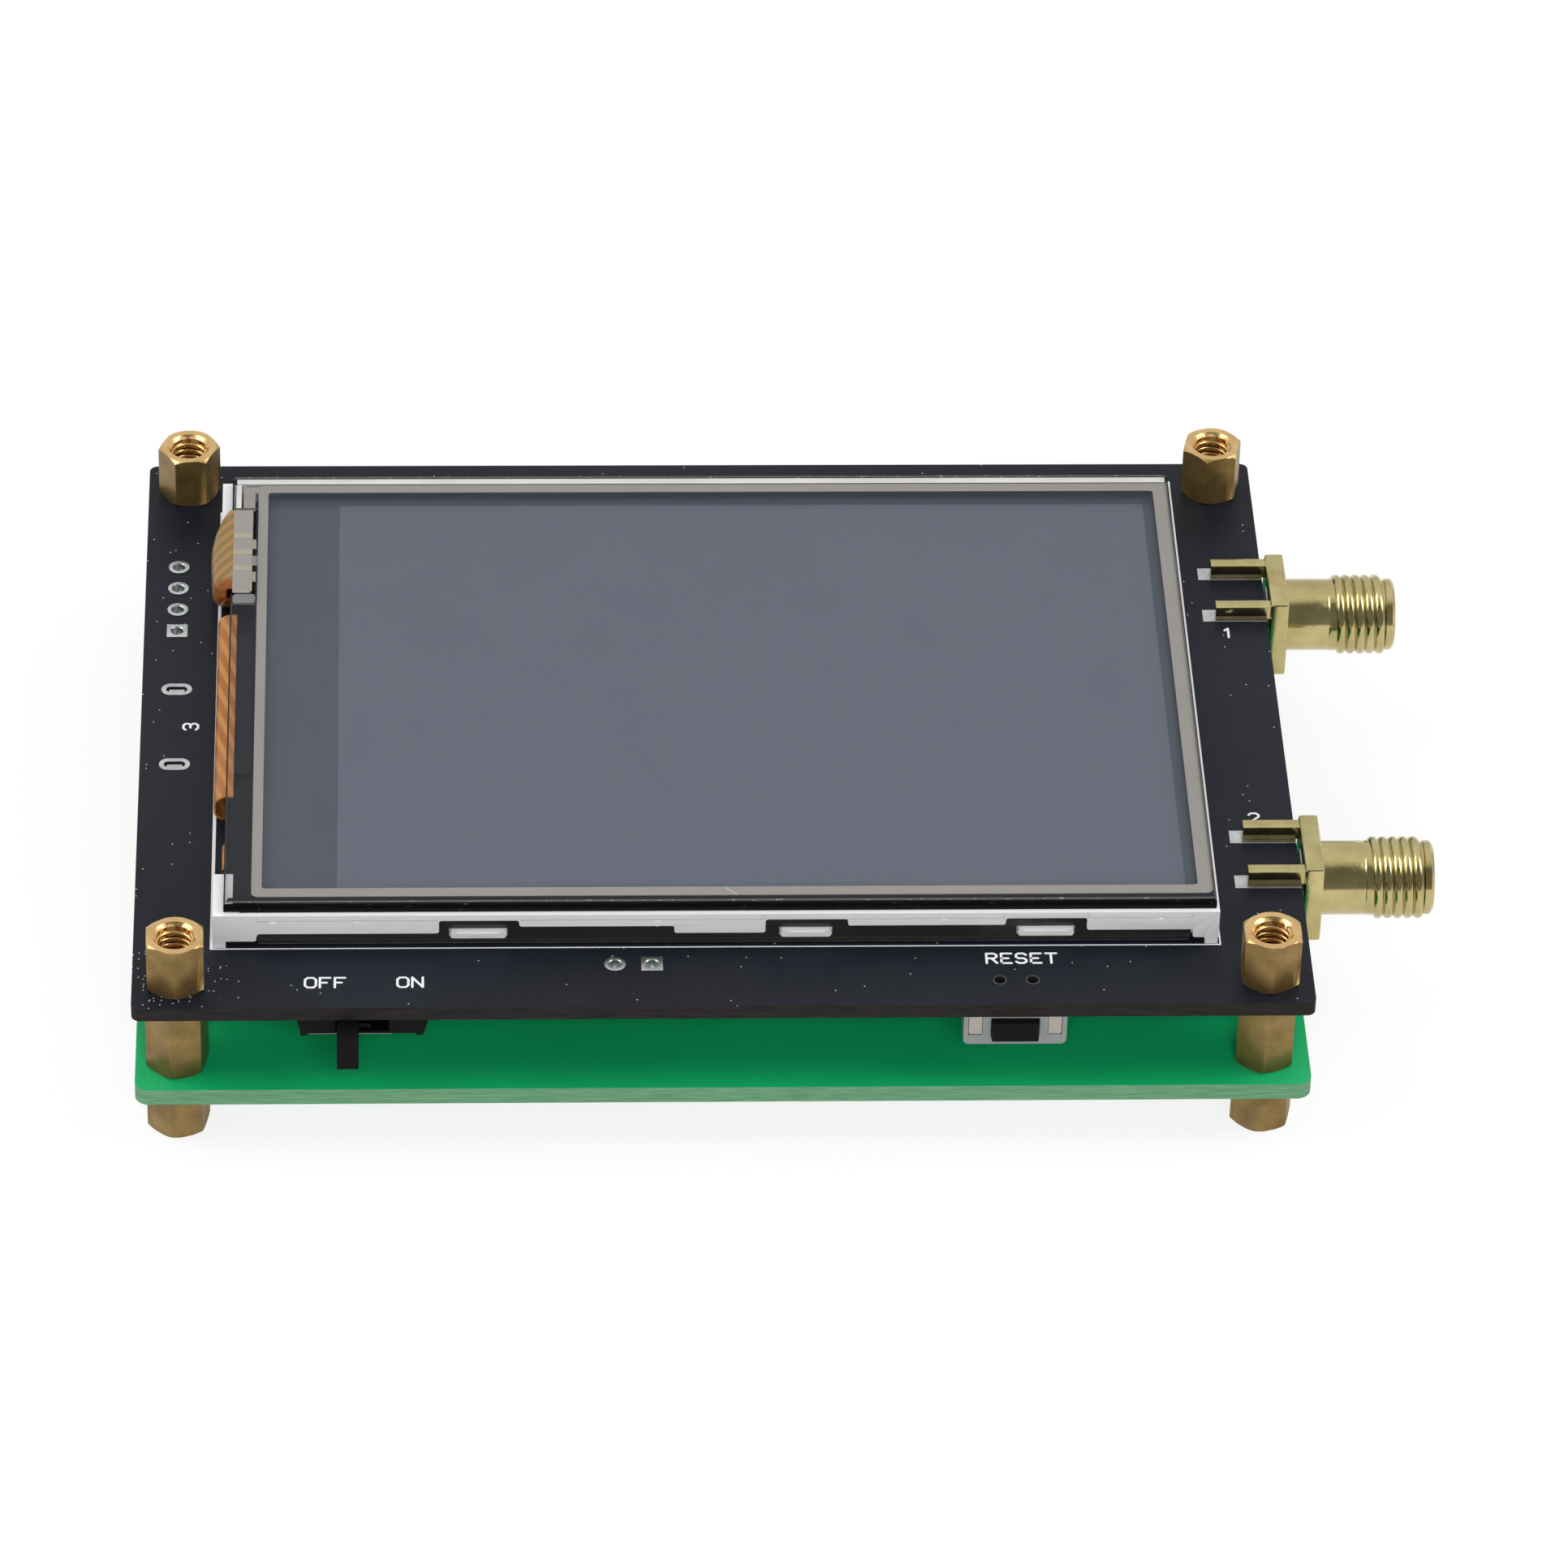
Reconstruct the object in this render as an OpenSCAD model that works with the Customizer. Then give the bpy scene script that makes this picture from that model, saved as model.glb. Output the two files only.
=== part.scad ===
// Bare two-board signal generator with a touch display.
// Millimetres. The feet stand on z = 0, the switches face -Y, the coaxial jacks face +X.

/* [Boards] */
// Board left of the display
margin_left = 5.5; // [5.3:0.1:12]
// Board right of the display
margin_right = 6.3; // [6:0.1:12]
// Board in front of the display
margin_front = 6.5; // [6.3:0.1:12]
// Board behind the display
margin_back = 6; // [5.8:0.1:12]
// Thickness of the black main board
board_t = 1.1; // [0.8:0.1:1.6]
// Corner radius of the black main board
board_r = 0.6; // [0.3:0.1:2]
// Thickness of the green base board
base_t = 1.3; // [1:0.1:2]
// Corner radius of the green base board
base_r = 1; // [0.4:0.1:2.5]
// Distance of the corner holes from the board edges
hole_inset = 3; // [2.6:0.1:3.4]

/* [Standoffs] */
// Width of the hexagon across its flats
hex_w = 3.9; // [3.8:0.1:4.6]
// Height of the standoffs on top of the main board
upper_h = 4; // [3:0.5:8]
// Height of the standoffs between the boards
middle_h = 6; // [6:0.5:12]
// Height of the standoffs that serve as feet
lower_h = 4; // [3:0.5:8]
// Diameter of the open tapped bores, at the thread's crests
tap_d = 2.2; // [2:0.05:2.25]
// Diameter of the threaded studs, at the thread's crests
stud_d = 2.5; // [2.4:0.05:2.6]
// Mouth diameter of the bevel on the tapped bores
mouth_d = 3; // [2.6:0.1:3.2]

/* [Display] */
// Width of the display frame
display_w = 69.2; // [60:0.2:90]
// Depth of the display frame
display_d = 50; // [44:0.5:70]
// Height of the white frame over the main board
frame_h = 2.8; // [2.8:0.1:3.6]
// Thickness of the touch glass
touch_glass_t = 0.65; // [0.5:0.05:1.1]
// Thickness of the film over the touch glass
touch_film_t = 0.2; // [0.15:0.05:0.3]

/* [Coaxial jacks] */
// Side of the square flange
flange_w = 6.3; // [6:0.05:6.6]
// Thickness of the flange
flange_t = 1.35; // [1:0.05:2]
// Diameter of the plain barrel
barrel_d = 5.2; // [5:0.1:5.6]
// Length of the plain barrel
barrel_l = 3; // [2:0.05:5]
// Outer diameter of the thread
thread_d = 6; // [5.8:0.05:6.35]
// Length of the thread
thread_l = 4.15; // [3.5:0.05:6]
// Length of the four solder legs
leg_l = 3.95; // [3:0.1:4.1]
// Distance of the back jack from the board centre line
back_jack_y = 15.1; // [12:0.1:18]
// Distance of the front jack from the board centre line
front_jack_y = 15.4; // [12:0.1:18]

/* [USB port] */
// Outer width of the port
usb_w = 8.94; // [8.8:0.02:9.1]
// Outer height of the port
usb_h = 3.2; // [3.1:0.02:3.3]
// Length of the port, into the board
usb_l = 7.35; // [6.8:0.05:8]

/* [Switches] */
// Width of the slide switch
slide_w = 9.1; // [8.6:0.1:9.6]
// Height of the slide switch below the board
slide_h = 1.4; // [1.3:0.05:2]
// Distance of the slide switch from the left board edge
slide_left = 15.75; // [12:0.05:22]
// Full travel of the slide lever
slide_travel = 2; // [1.5:0.1:2.2]
// Reach of the slide lever beyond the board edge
slide_reach_l = 3.45; // [2:0.05:4]
// Width of the reset switch
reset_w = 7.1; // [6.8:0.1:8]
// Height of the reset switch below the board
reset_h = 2.4; // [2.2:0.1:3]
// Distance of the reset switch from the right board edge
reset_right = 20.6; // [16:0.1:24]
// Reach of the reset plunger beyond the board edge
reset_reach_l = 0.5; // [0.3:0.05:1]

/* [Headers] */
// Spacing of the header holes
header_pitch = 2.54; // [2.5:0.01:2.6]
// Diameter of the header pads
header_pad_d = 1.5; // [1.3:0.05:1.7]
// Diameter of the header holes
header_hole_d = 0.95; // [0.8:0.05:1.1]

/* [Hidden] */

// Overrun of every cut
over = 0.4;
// Clearance round a piece that is let into another
fit = 0.03;
// Clearance of a sliding piece
run = 0.06;

// Heights of the board faces above the feet
base_z = lower_h;
base_top = base_z + base_t;
main_z = base_top + middle_h;
main_top = main_z + board_t;
board_w = margin_left + display_w + margin_right;
board_d = margin_front + display_d + margin_back;
left_x = -board_w / 2;
right_x = board_w / 2;
front_y = -board_d / 2;
back_y = board_d / 2;
hole_x = right_x - hole_inset;
hole_y = back_y - hole_inset;
// Corners in the order front left, front right, back left, back right
corners = [[-1, -1], [1, -1], [-1, 1], [1, 1]];

// Standoff studs, bevels and how far each hexagon is turned
stud_bite = 1.8;
stud_end_gap = 0.1;
seat_d = stud_d + 2 * run;
stud_hole_d = stud_d + 5 * run;
hex_r = hex_w / sqrt(3);
hex_bevel = 0.27;
hex_bevel_angle = 35;
bore_floor_t = 0.7;
upper_turns = [31, 30, 4, 16];
middle_turns = [18, 23, 12, 40];
lower_turns = [18, 16, 35, 5];

// The base board is a little deeper than the main board and off its centre
base_extra_d = 0.2;
base_shift_x = 0.1;
base_shift_y = -0.1;

// Header places
side_header_in = 2.4;
side_header_back = 12.4;
side_header_count = 4;
front_header_left = 33.1;
front_header_front = 4.55;
front_header_count = 2;
pad_t = 0.05;

// Display stack, heights from the main board upward
foam_t = 0.25;
shell_t = 0.2;
shell_drop = 0.15;
reflector_t = 0.1;
guide_t = 0.7;
films_t = 0.2;
glass_t = 0.5;
polariser_t = 0.15;
tape_t = 0.05;
flex_t = 0.12;
shell_z = main_top + foam_t;
floor_z = shell_z + shell_t;
guide_z = floor_z + reflector_t;
films_z = guide_z + guide_t;
rear_glass_z = films_z + films_t;
front_glass_z = rear_glass_z + glass_t;
polariser_z = front_glass_z + glass_t;
frame_top = main_top + frame_h;
touch_z = frame_top + tape_t;
film_z = touch_z + touch_glass_t;
touch_top = film_z + touch_film_t;

// Display outline and the widths of its rims
frame_x0 = left_x + margin_left;
frame_x1 = frame_x0 + display_w;
frame_y0 = front_y + margin_front;
frame_y1 = frame_y0 + display_d;
rim_w = 1;
left_rim_w = 0.7;
skin_t = 0.35;
slot_w = 0.3;
rim_h = 0.42;
room = 0.1;
cell_x0 = frame_x0 + left_rim_w + room;
cell_x1 = frame_x1 - rim_w - room;
cell_y0 = frame_y0 + rim_w + room;
cell_y1 = frame_y1 - rim_w - room;
led_zone = 1.8;
ledge_w = 2.2;
rim_z = frame_top - rim_h;
rim_mid_z = frame_top - rim_h / 2;
led_count = 4;
led_w = 3;
led_d = 1;
driver_l = 17;
driver_w = 1;
driver_t = 0.3;

// Long walls of the frame: start, end and lower edge of each step
step_shares = [
    [0, 0.043, 0.2], [0.043, 0.224, 0.43], [0.224, 0.3035, 0.82], [0.3035, 0.4575, 0.63],
    [0.4575, 0.548, 0.41], [0.548, 0.63, 0.82], [0.63, 0.787, 0.62], [0.787, 0.868, 0.82],
    [0.868, 0.974, 0.45], [0.974, 1, 0.2]
];
foot_shares = [[0.0005, 0.0125], [0.9865, 0.9993]];
hook_shares = [[0.2355, 0.2905], [0.5635, 0.6135], [0.8, 0.855]];
hook_z_shares = [0.25, 0.46];
hook_out = 0.28;
window_low_share = 0.12;
block_left_share = 0.043;
block_right_share = 0.026;
left_open_shares = [0.083, 0.905];
left_pad_shares = [0.092, 0.918];
left_pad_w = 1.35;
shell_x0 = frame_x0 + block_left_share * display_w + room;
shell_x1 = frame_x1 - block_right_share * display_w - room;

// Touch panel outline
touch_front_gap = 0.38;
touch_back_gap = 0.25;
touch_left_gap = 0.85;
touch_right_gap = 0.15;
touch_x0 = frame_x0 + touch_left_gap;
touch_x1 = frame_x1 - touch_right_gap;
touch_y0 = frame_y0 + touch_front_gap;
touch_y1 = frame_y1 - touch_back_gap;

// Flexes: from, to along the frame depth, and how far they reach out to the left
display_flex_shares = [0.283, 0.703];
flex_out = 0.15;
flex_under = 4;
flex_bond = 0.45;
backlight_tail_shares = [0.143, 0.197];
backlight_bend = 0.3;
tail_shares = [0.711, 0.914];
tail_out = 0.7;
tail_bond = 1.7;
tail_under = 3;
tail_lens_shares = [
    [0, 0], [0, 1], [0.3, 0.96], [0.72, 0.83], [1, 0.62], [1, 0.36], [0.8, 0.12], [0.5, 0]
];

// Coaxial jack details, measured from its axis
pin_d = 1.2;
pin_l = 3.4;
jack_gap = 0.05;
jack_z = main_z - jack_gap - pin_d / 2;
flange_off = 0.2;
jack_x = right_x + flange_off;
leg_w = 0.9;
leg_h = 1.05;
leg_pitch = 5;
leg_low = main_top + pad_t - jack_z;
tip_d = 5.2;
tip_l = 0.75;
insulator_d = 4.1;
counterbore_d = 4.6;
counterbore_l = 1.9;
socket_d = 0.9;
socket_l = 2.4;
socket_slit = 0.16;
jack_l = flange_t + barrel_l + thread_l + tip_l;
jack_bevel = 0.3;
jack_pad_w = 1.4;
jack_pad_out = 0.9;
jack_pad_l = leg_l - flange_off + jack_pad_out;
front_pad_shift = 0.15;

// USB port details
usb_r = 1.2;
usb_wall = 0.3;
usb_tab_x = 2.47;
usb_tab_pitch = 8.64;
usb_tab_l = 1.1;
usb_tab_t = 0.3;
usb_tab_back = 4.18;
usb_slot_w = 0.6;
usb_slot_l = 1.5;
usb_pad_w = 1.33;
usb_pad_l = 2.2;
usb_block_l = 2;
usb_tongue_w = 6.7;
usb_tongue_t = 0.7;
usb_tongue_in = 0.9;
contact_count = 12;
contact_pitch = 0.5;
contact_w = 0.25;
contact_t = 0.12;
contact_tail = 0.8;
usb_y = 0;
usb_mid_z = main_z - usb_h / 2;

// Slide switch details
slide_x = left_x + slide_left;
slide_d = 3.4;
slide_back = 0.25;
slide_y = front_y + slide_back;
slide_wall = 0.2;
slide_taper = 0.35;
slide_base_t = 0.35;
slide_strip_t = 0.08;
slide_relief = 0.5;
lever_w = 1.48;
lever_h = 1.4;
lever_top = 0.08;
carriage_w = 3.2;
carriage_t = 0.4;
carriage_top = slide_h - slide_wall - run - carriage_t;
slide_rest = -slide_travel / 2;

// Reset switch details
reset_x = right_x - reset_right;
reset_d = 3.4;
reset_wall = 0.5;
peg_root = 0.1;
plunger_w = 3.2;
plunger_h = 1.6;
plunger_lip = 0.4;
plunger_lip_t = 0.4;
stem_d = 0.8;
plunger_top = 0.2;
reset_mid = plunger_top + plunger_h / 2;
peg_d = 0.7;
peg_l = 0.5;
peg_shift = 0.14;
peg_gap = 2.26;
peg_y = 2.65;
terminal_w = 0.92;
terminal_d = 1.2;
terminal_h = 1.55;
terminal_in = 0.36;
terminal_skin = 0.05;
dome_d = 1.7;
dome_rise = 0.3;
dome_t = 0.08;
dome_back = reset_d - reset_wall;

// Parts under the main board: places as shares of the board, then width, depth and height
controller_shares = [-0.1, 0.08];
controller_size = [7, 7, 1.4];
chip_lift = 0.1;
lead_count = 8;
lead_pitch = 0.8;
lead_w = 0.35;
lead_t = 0.13;
lead_l = 1;
synth_shares = [0.245, 0.21];
synth_size = [6.5, 4.4, 1];
synth_leads = 10;
synth_pitch = 0.65;
synth_lead_w = 0.25;
clock_shares = [0.31, -0.18];
clock_size = [7, 5, 0.9];
clock_lid_size = [6.3, 4.3, 0.5];
crystal_shares = [-0.22, 0.08];
crystal_size = [3.2, 2.5, 0.8];
regulator_shares = [[-0.32, 0.22], [-0.32, -0.22]];
regulator_size = [3.5, 6.5, 1.6];
regulator_lead_w = 0.7;
regulator_tab_w = 3;
regulator_lead_l = 1.7;
regulator_pitch = 2.3;
inductor_shares = [[-0.21, 0.24], [-0.21, -0.22]];
inductor_size = [4, 4, 1.8];
capacitor_shares = [
    [-0.38, 0.13], [-0.38, -0.13], [-0.26, 0.33], [-0.26, -0.33], [-0.1, 0.2], [-0.1, -0.04],
    [-0.01, 0.08], [0.17, 0.31], [0.17, 0.13], [0.33, 0.29], [0.33, 0.13], [0.235, -0.11],
    [0.235, -0.24], [0.385, -0.1]
];
capacitor_size = [1.6, 0.8, 0.8];
resistor_shares = [
    [-0.36, 0.05], [-0.36, -0.05], [-0.16, 0.2], [-0.16, -0.04], [-0.04, 0.2], [-0.04, -0.04],
    [0.1, 0.21], [0.1, 0.16], [0.1, -0.13], [0.1, -0.19], [0.385, 0.21], [0.385, 0.26],
    [0.17, -0.18], [-0.15, -0.32]
];
resistor_size = [1.6, 0.8, 0.45];

function board_place(s) = [s[0] * board_w, s[1] * board_d];

// A box between two corners
module span(a, b) {
    translate(a)
        cube(b - a);
}

// A flat rectangle with round corners, centred
module round_rect(w, d, r) {
    square([w - 2 * r, d], center = true);
    square([w, d - 2 * r], center = true);
    for (sx = [-1, 1], sy = [-1, 1])
        translate([sx * (w / 2 - r), sy * (d / 2 - r)])
            circle(r = r);
}

// A slot with round ends along X, centred
module round_slot(l, w) {
    square([l - w, w], center = true);
    for (s = [-1, 1])
        translate([s * (l - w) / 2, 0])
            circle(d = w);
}

module at_corners() {
    for (c = corners)
        translate([c[0] * hole_x, c[1] * hole_y, 0])
            children();
}

module at_side_header() {
    for (i = [0 : side_header_count - 1])
        translate([left_x + side_header_in, back_y - side_header_back - i * header_pitch, 0])
            children();
}

module at_front_header() {
    for (i = [0 : front_header_count - 1])
        translate([left_x + front_header_left + i * header_pitch, front_y + front_header_front, 0])
            children();
}

module at_usb_tab_pair(x) {
    for (s = [-1, 1])
        translate([left_x + x, usb_y + s * usb_tab_pitch / 2, 0])
            children();
}

module at_usb_tabs() {
    at_usb_tab_pair(usb_tab_x)
        children();
    at_usb_tab_pair(usb_tab_x + usb_tab_back)
        children();
}

module at_pegs() {
    for (s = [-1, 1])
        translate([reset_x + peg_shift + s * peg_gap / 2, front_y + peg_y, 0])
            children();
}

// Boards
module main_board() {
    color("#22252b")
        difference() {
            translate([0, 0, main_z])
                linear_extrude(board_t)
                    round_rect(board_w, board_d, board_r);
            translate([0, 0, main_z - over])
                linear_extrude(board_t + 2 * over) {
                    at_corners()
                        circle(d = stud_hole_d);
                    at_side_header()
                        circle(d = header_hole_d);
                    at_front_header()
                        circle(d = header_hole_d);
                    at_usb_tabs()
                        round_slot(usb_slot_l, usb_slot_w);
                    at_pegs()
                        circle(d = peg_d + 2 * run);
                }
        }
}

module base_board() {
    color("#1c8f5f")
        difference() {
            translate([base_shift_x, base_shift_y, base_z])
                linear_extrude(base_t)
                    round_rect(board_w, board_d + base_extra_d, base_r);
            translate([0, 0, base_z - over])
                linear_extrude(base_t + 2 * over)
                    at_corners()
                        circle(d = stud_hole_d);
        }
}

// Standoffs
module hex_body(h, turn) {
    end_r = hex_r - hex_bevel;
    wide_r = hex_r + hex_bevel;
    slope_h = 2 * hex_bevel * tan(hex_bevel_angle);
    intersection() {
        rotate(turn)
            cylinder(r = hex_r, h = h, $fn = 6);
        rotate_extrude()
            polygon([[0, 0], [end_r, 0], [wide_r, slope_h], [wide_r, h - slope_h], [end_r, h], [0, h]]);
    }
}

module bore_down(d, depth) {
    bevel_h = (mouth_d - d) / 2;
    translate([0, 0, -depth])
        cylinder(d = d, h = depth + over);
    translate([0, 0, -bevel_h])
        cylinder(d1 = d, d2 = mouth_d, h = bevel_h);
    cylinder(d = mouth_d, h = over);
}

module upper_standoffs() {
    color("#b5894b")
        for (i = [0 : 3])
            translate([corners[i][0] * hole_x, corners[i][1] * hole_y, main_top]) {
                difference() {
                    hex_body(upper_h, upper_turns[i]);
                    translate([0, 0, upper_h])
                        bore_down(tap_d, upper_h - bore_floor_t);
                }
                translate([0, 0, -board_t - stud_bite])
                    cylinder(d = stud_d, h = board_t + stud_bite + bore_floor_t / 2);
            }
}

module middle_standoffs() {
    color("#b5894b")
        for (i = [0 : 3])
            translate([corners[i][0] * hole_x, corners[i][1] * hole_y, base_top]) {
                difference() {
                    hex_body(middle_h, middle_turns[i]);
                    translate([0, 0, middle_h])
                        bore_down(seat_d, stud_bite + stud_end_gap);
                }
                translate([0, 0, -base_t - stud_bite])
                    cylinder(d = stud_d, h = base_t + stud_bite + bore_floor_t / 2);
            }
}

module lower_standoffs() {
    color("#b5894b")
        for (i = [0 : 3])
            translate([corners[i][0] * hole_x, corners[i][1] * hole_y, 0])
                difference() {
                    hex_body(lower_h, lower_turns[i]);
                    translate([0, 0, lower_h])
                        bore_down(seat_d, stud_bite + stud_end_gap);
                    mirror([0, 0, 1])
                        bore_down(tap_d, lower_h - stud_bite);
                }
}

// Bare metal on the main board
module header_pads() {
    color("#cfd0d2")
        translate([0, 0, main_top])
            linear_extrude(pad_t)
                difference() {
                    union() {
                        at_side_header()
                            circle(d = header_pad_d);
                        at_front_header()
                            circle(d = header_pad_d);
                        translate([0, -(side_header_count - 1) * header_pitch, 0])
                            translate([left_x + side_header_in, back_y - side_header_back])
                                square(header_pad_d, center = true);
                        translate([(front_header_count - 1) * header_pitch, 0])
                            translate([left_x + front_header_left, front_y + front_header_front])
                                square(header_pad_d, center = true);
                    }
                    at_side_header()
                        circle(d = header_hole_d);
                    at_front_header()
                        circle(d = header_hole_d);
                }
}

module usb_pads() {
    color("#cfd0d2")
        translate([0, 0, main_top])
            linear_extrude(pad_t)
                at_usb_tab_pair(usb_tab_x)
                    difference() {
                        round_slot(usb_pad_l, usb_pad_w);
                        round_slot(usb_slot_l, usb_slot_w);
                    }
}

module jack_pads() {
    color("#cfd0d2")
        for (y = [back_jack_y, -front_jack_y - front_pad_shift], s = [-1, 1])
            translate([right_x - jack_pad_l, y + s * leg_pitch / 2 - jack_pad_w / 2, main_top])
                cube([jack_pad_l, jack_pad_w, pad_t]);
}

// Display
module long_wall() {
    for (s = step_shares)
        span([frame_x0 + s[0] * display_w, 0, main_top + s[2] * frame_h],
             [frame_x0 + s[1] * display_w, skin_t, rim_mid_z]);
    for (s = foot_shares)
        span([frame_x0 + s[0] * display_w, 0, main_top],
             [frame_x0 + s[1] * display_w, rim_w, rim_mid_z]);
    for (x = [[0, block_left_share], [1 - block_right_share, 1]])
        span([frame_x0 + x[0] * display_w, 0, main_top + step_shares[0][2] * frame_h],
             [frame_x0 + x[1] * display_w, rim_w, rim_mid_z]);
    span([frame_x0, skin_t + slot_w, floor_z],
         [frame_x1, rim_w, rim_mid_z]);
    for (s = hook_shares)
        span([frame_x0 + s[0] * display_w, skin_t - hook_out, main_top + hook_z_shares[0] * frame_h],
             [frame_x0 + s[1] * display_w, rim_w, main_top + hook_z_shares[1] * frame_h]);
}

module display_frame() {
    color("#e8e8ea") {
        difference() {
            span([frame_x0, frame_y0, rim_z], [frame_x1, frame_y1, frame_top]);
            span([frame_x0 + left_rim_w, frame_y0 + rim_w, rim_z - over],
                 [frame_x1 - rim_w, frame_y1 - rim_w, frame_top + over]);
            span([frame_x0 - over, frame_y0 + left_open_shares[0] * display_d, rim_z - over],
                 [frame_x0 + left_rim_w + over, frame_y0 + left_open_shares[1] * display_d,
                  frame_top + over]);
        }
        span([frame_x0, frame_y0 + rim_w / 2, rim_z],
             [frame_x0 + left_pad_w, frame_y0 + left_pad_shares[0] * display_d, frame_top]);
        span([frame_x0, frame_y0 + left_pad_shares[1] * display_d, rim_z],
             [frame_x0 + left_pad_w, frame_y1 - rim_w / 2, frame_top]);
        span([frame_x1 - rim_w, frame_y0 + rim_w / 2, floor_z], [frame_x1, frame_y1 - rim_w / 2, rim_mid_z]);
        span([frame_x0, frame_y0 + rim_w / 2, floor_z],
             [frame_x0 + left_rim_w, frame_y0 + left_open_shares[0] * display_d, rim_mid_z]);
        span([frame_x0, frame_y0 + left_open_shares[1] * display_d, floor_z],
             [frame_x0 + left_rim_w, frame_y1 - rim_w / 2, rim_mid_z]);
        translate([0, frame_y0, 0])
            long_wall();
        translate([0, frame_y1, 0])
            mirror([0, 1, 0])
                long_wall();
    }
}

module shell_wall() {
    difference() {
        span([shell_x0, skin_t + fit, main_top + shell_drop],
             [shell_x1, skin_t + fit + shell_t, rim_z - fit]);
        for (s = hook_shares)
            span([frame_x0 + s[0] * display_w - room, skin_t - over,
                  main_top + window_low_share * frame_h],
                 [frame_x0 + s[1] * display_w + room, skin_t + slot_w + over,
                  main_top + hook_z_shares[1] * frame_h + fit]);
    }
}

module display_shell() {
    color("#15161a") {
        span([cell_x0, cell_y0, shell_z], [cell_x1, cell_y1, floor_z]);
        span([shell_x0, frame_y0 + skin_t + fit, shell_z], [shell_x1, frame_y1 - skin_t - fit, floor_z]);
        translate([0, frame_y0, 0])
            shell_wall();
        translate([0, frame_y1, 0])
            mirror([0, 1, 0])
                shell_wall();
    }
}

module display_tape() {
    color("#2c2c2c")
        for (s = [[0.12, 0.32], [0.68, 0.9]])
            span([frame_x0 + s[0] * display_w, frame_y0 + 2 * rim_w, main_top],
                 [frame_x0 + s[1] * display_w, frame_y1 - 2 * rim_w, shell_z]);
}

module backlight_reflector() {
    color("#f2f2f0")
        span([cell_x0 + led_zone, cell_y0, floor_z], [cell_x1, cell_y1, guide_z]);
}

module backlight_guide() {
    color("#dfe8ee")
        span([cell_x0 + led_zone, cell_y0, guide_z], [cell_x1, cell_y1, films_z]);
}

module backlight_films() {
    color("#eceff2")
        span([cell_x0 + led_zone, cell_y0, films_z], [cell_x1, cell_y1, rear_glass_z]);
}

module backlight_leds() {
    color("#f4e9a8")
        for (i = [0 : led_count - 1])
            translate([cell_x0 + led_zone - led_d - room,
                       cell_y0 + (i + 0.5) * (cell_y1 - cell_y0) / led_count - led_w / 2, floor_z])
                cube([led_d, led_w, films_z - flex_t - floor_z]);
}

// A flex that leaves at z1, bends down round the edge at x and runs back under at the board
module flex_strip(x, z1, out, under, bond, y0, y1, low_r) {
    top_r = out;
    translate([0, y1, 0])
        rotate([90, 0, 0])
            linear_extrude(y1 - y0) {
                translate([x, z1 - top_r])
                    intersection() {
                        difference() {
                            circle(r = top_r);
                            circle(r = top_r - flex_t);
                        }
                        translate([-2 * top_r, 0])
                            square(2 * top_r);
                    }
                translate([x, z1 - flex_t])
                    square([bond, flex_t]);
                translate([x - out, main_top + low_r])
                    square([flex_t, z1 - top_r - main_top - low_r]);
                translate([x - out + low_r, main_top + low_r])
                    intersection() {
                        difference() {
                            circle(r = low_r);
                            circle(r = low_r - flex_t);
                        }
                        translate([-2 * low_r, -2 * low_r])
                            square(2 * low_r);
                    }
                translate([x - out + low_r, main_top])
                    square([under, flex_t]);
            }
}

module display_flex() {
    color("#c8843c")
        flex_strip(cell_x0 - fit, front_glass_z + flex_t, cell_x0 - fit - frame_x0 + flex_out, flex_under,
                   flex_bond, frame_y0 + display_flex_shares[0] * display_d,
                   frame_y0 + display_flex_shares[1] * display_d, frame_h / 4);
}

module backlight_flex() {
    color("#c8843c") {
        span([cell_x0, cell_y0, films_z - flex_t], [cell_x0 + led_zone - room, cell_y1, films_z]);
        flex_strip(cell_x0, films_z, backlight_bend, flex_under, flex_bond,
                   frame_y0 + backlight_tail_shares[0] * display_d,
                   frame_y0 + backlight_tail_shares[1] * display_d, backlight_bend);
    }
}

module display_rear_glass() {
    color("#31363c")
        span([cell_x0, cell_y0, rear_glass_z], [cell_x1, cell_y1, front_glass_z]);
}

module display_front_glass() {
    color("#454b55")
        span([cell_x0 + ledge_w, cell_y0, front_glass_z], [cell_x1, cell_y1, polariser_z]);
}

module display_polariser() {
    color("#5b616c")
        span([cell_x0 + ledge_w + rim_w, cell_y0 + rim_w, polariser_z],
             [cell_x1 - rim_w, cell_y1 - rim_w, polariser_z + polariser_t]);
}

module display_driver() {
    color("#1b1b1f")
        translate([cell_x0 + flex_bond + room, (frame_y0 + frame_y1 - driver_l) / 2, front_glass_z])
            cube([driver_w, driver_l, driver_t]);
}

module touch_tape() {
    color("#d8d8d4")
        difference() {
            span([touch_x0 + rim_w, touch_y0 + room, frame_top], [touch_x1 - room, touch_y1 - room, touch_z]);
            span([touch_x0 + rim_w - over, frame_y0 + rim_w, frame_top - over],
                 [frame_x1 - rim_w, frame_y1 - rim_w, touch_z + over]);
        }
}

module touch_glass() {
    color("#7b818c")
        span([touch_x0, touch_y0, touch_z], [touch_x1, touch_y1, film_z]);
}

module touch_film() {
    color("#646872")
        difference() {
            span([touch_x0, touch_y0, film_z], [touch_x1, touch_y1, touch_top]);
            span([touch_x0 - over, frame_y0 + tail_shares[0] * display_d - room, film_z - over],
                 [touch_x0 + tail_bond, frame_y0 + tail_shares[1] * display_d + room, touch_top + over]);
        }
}

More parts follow.
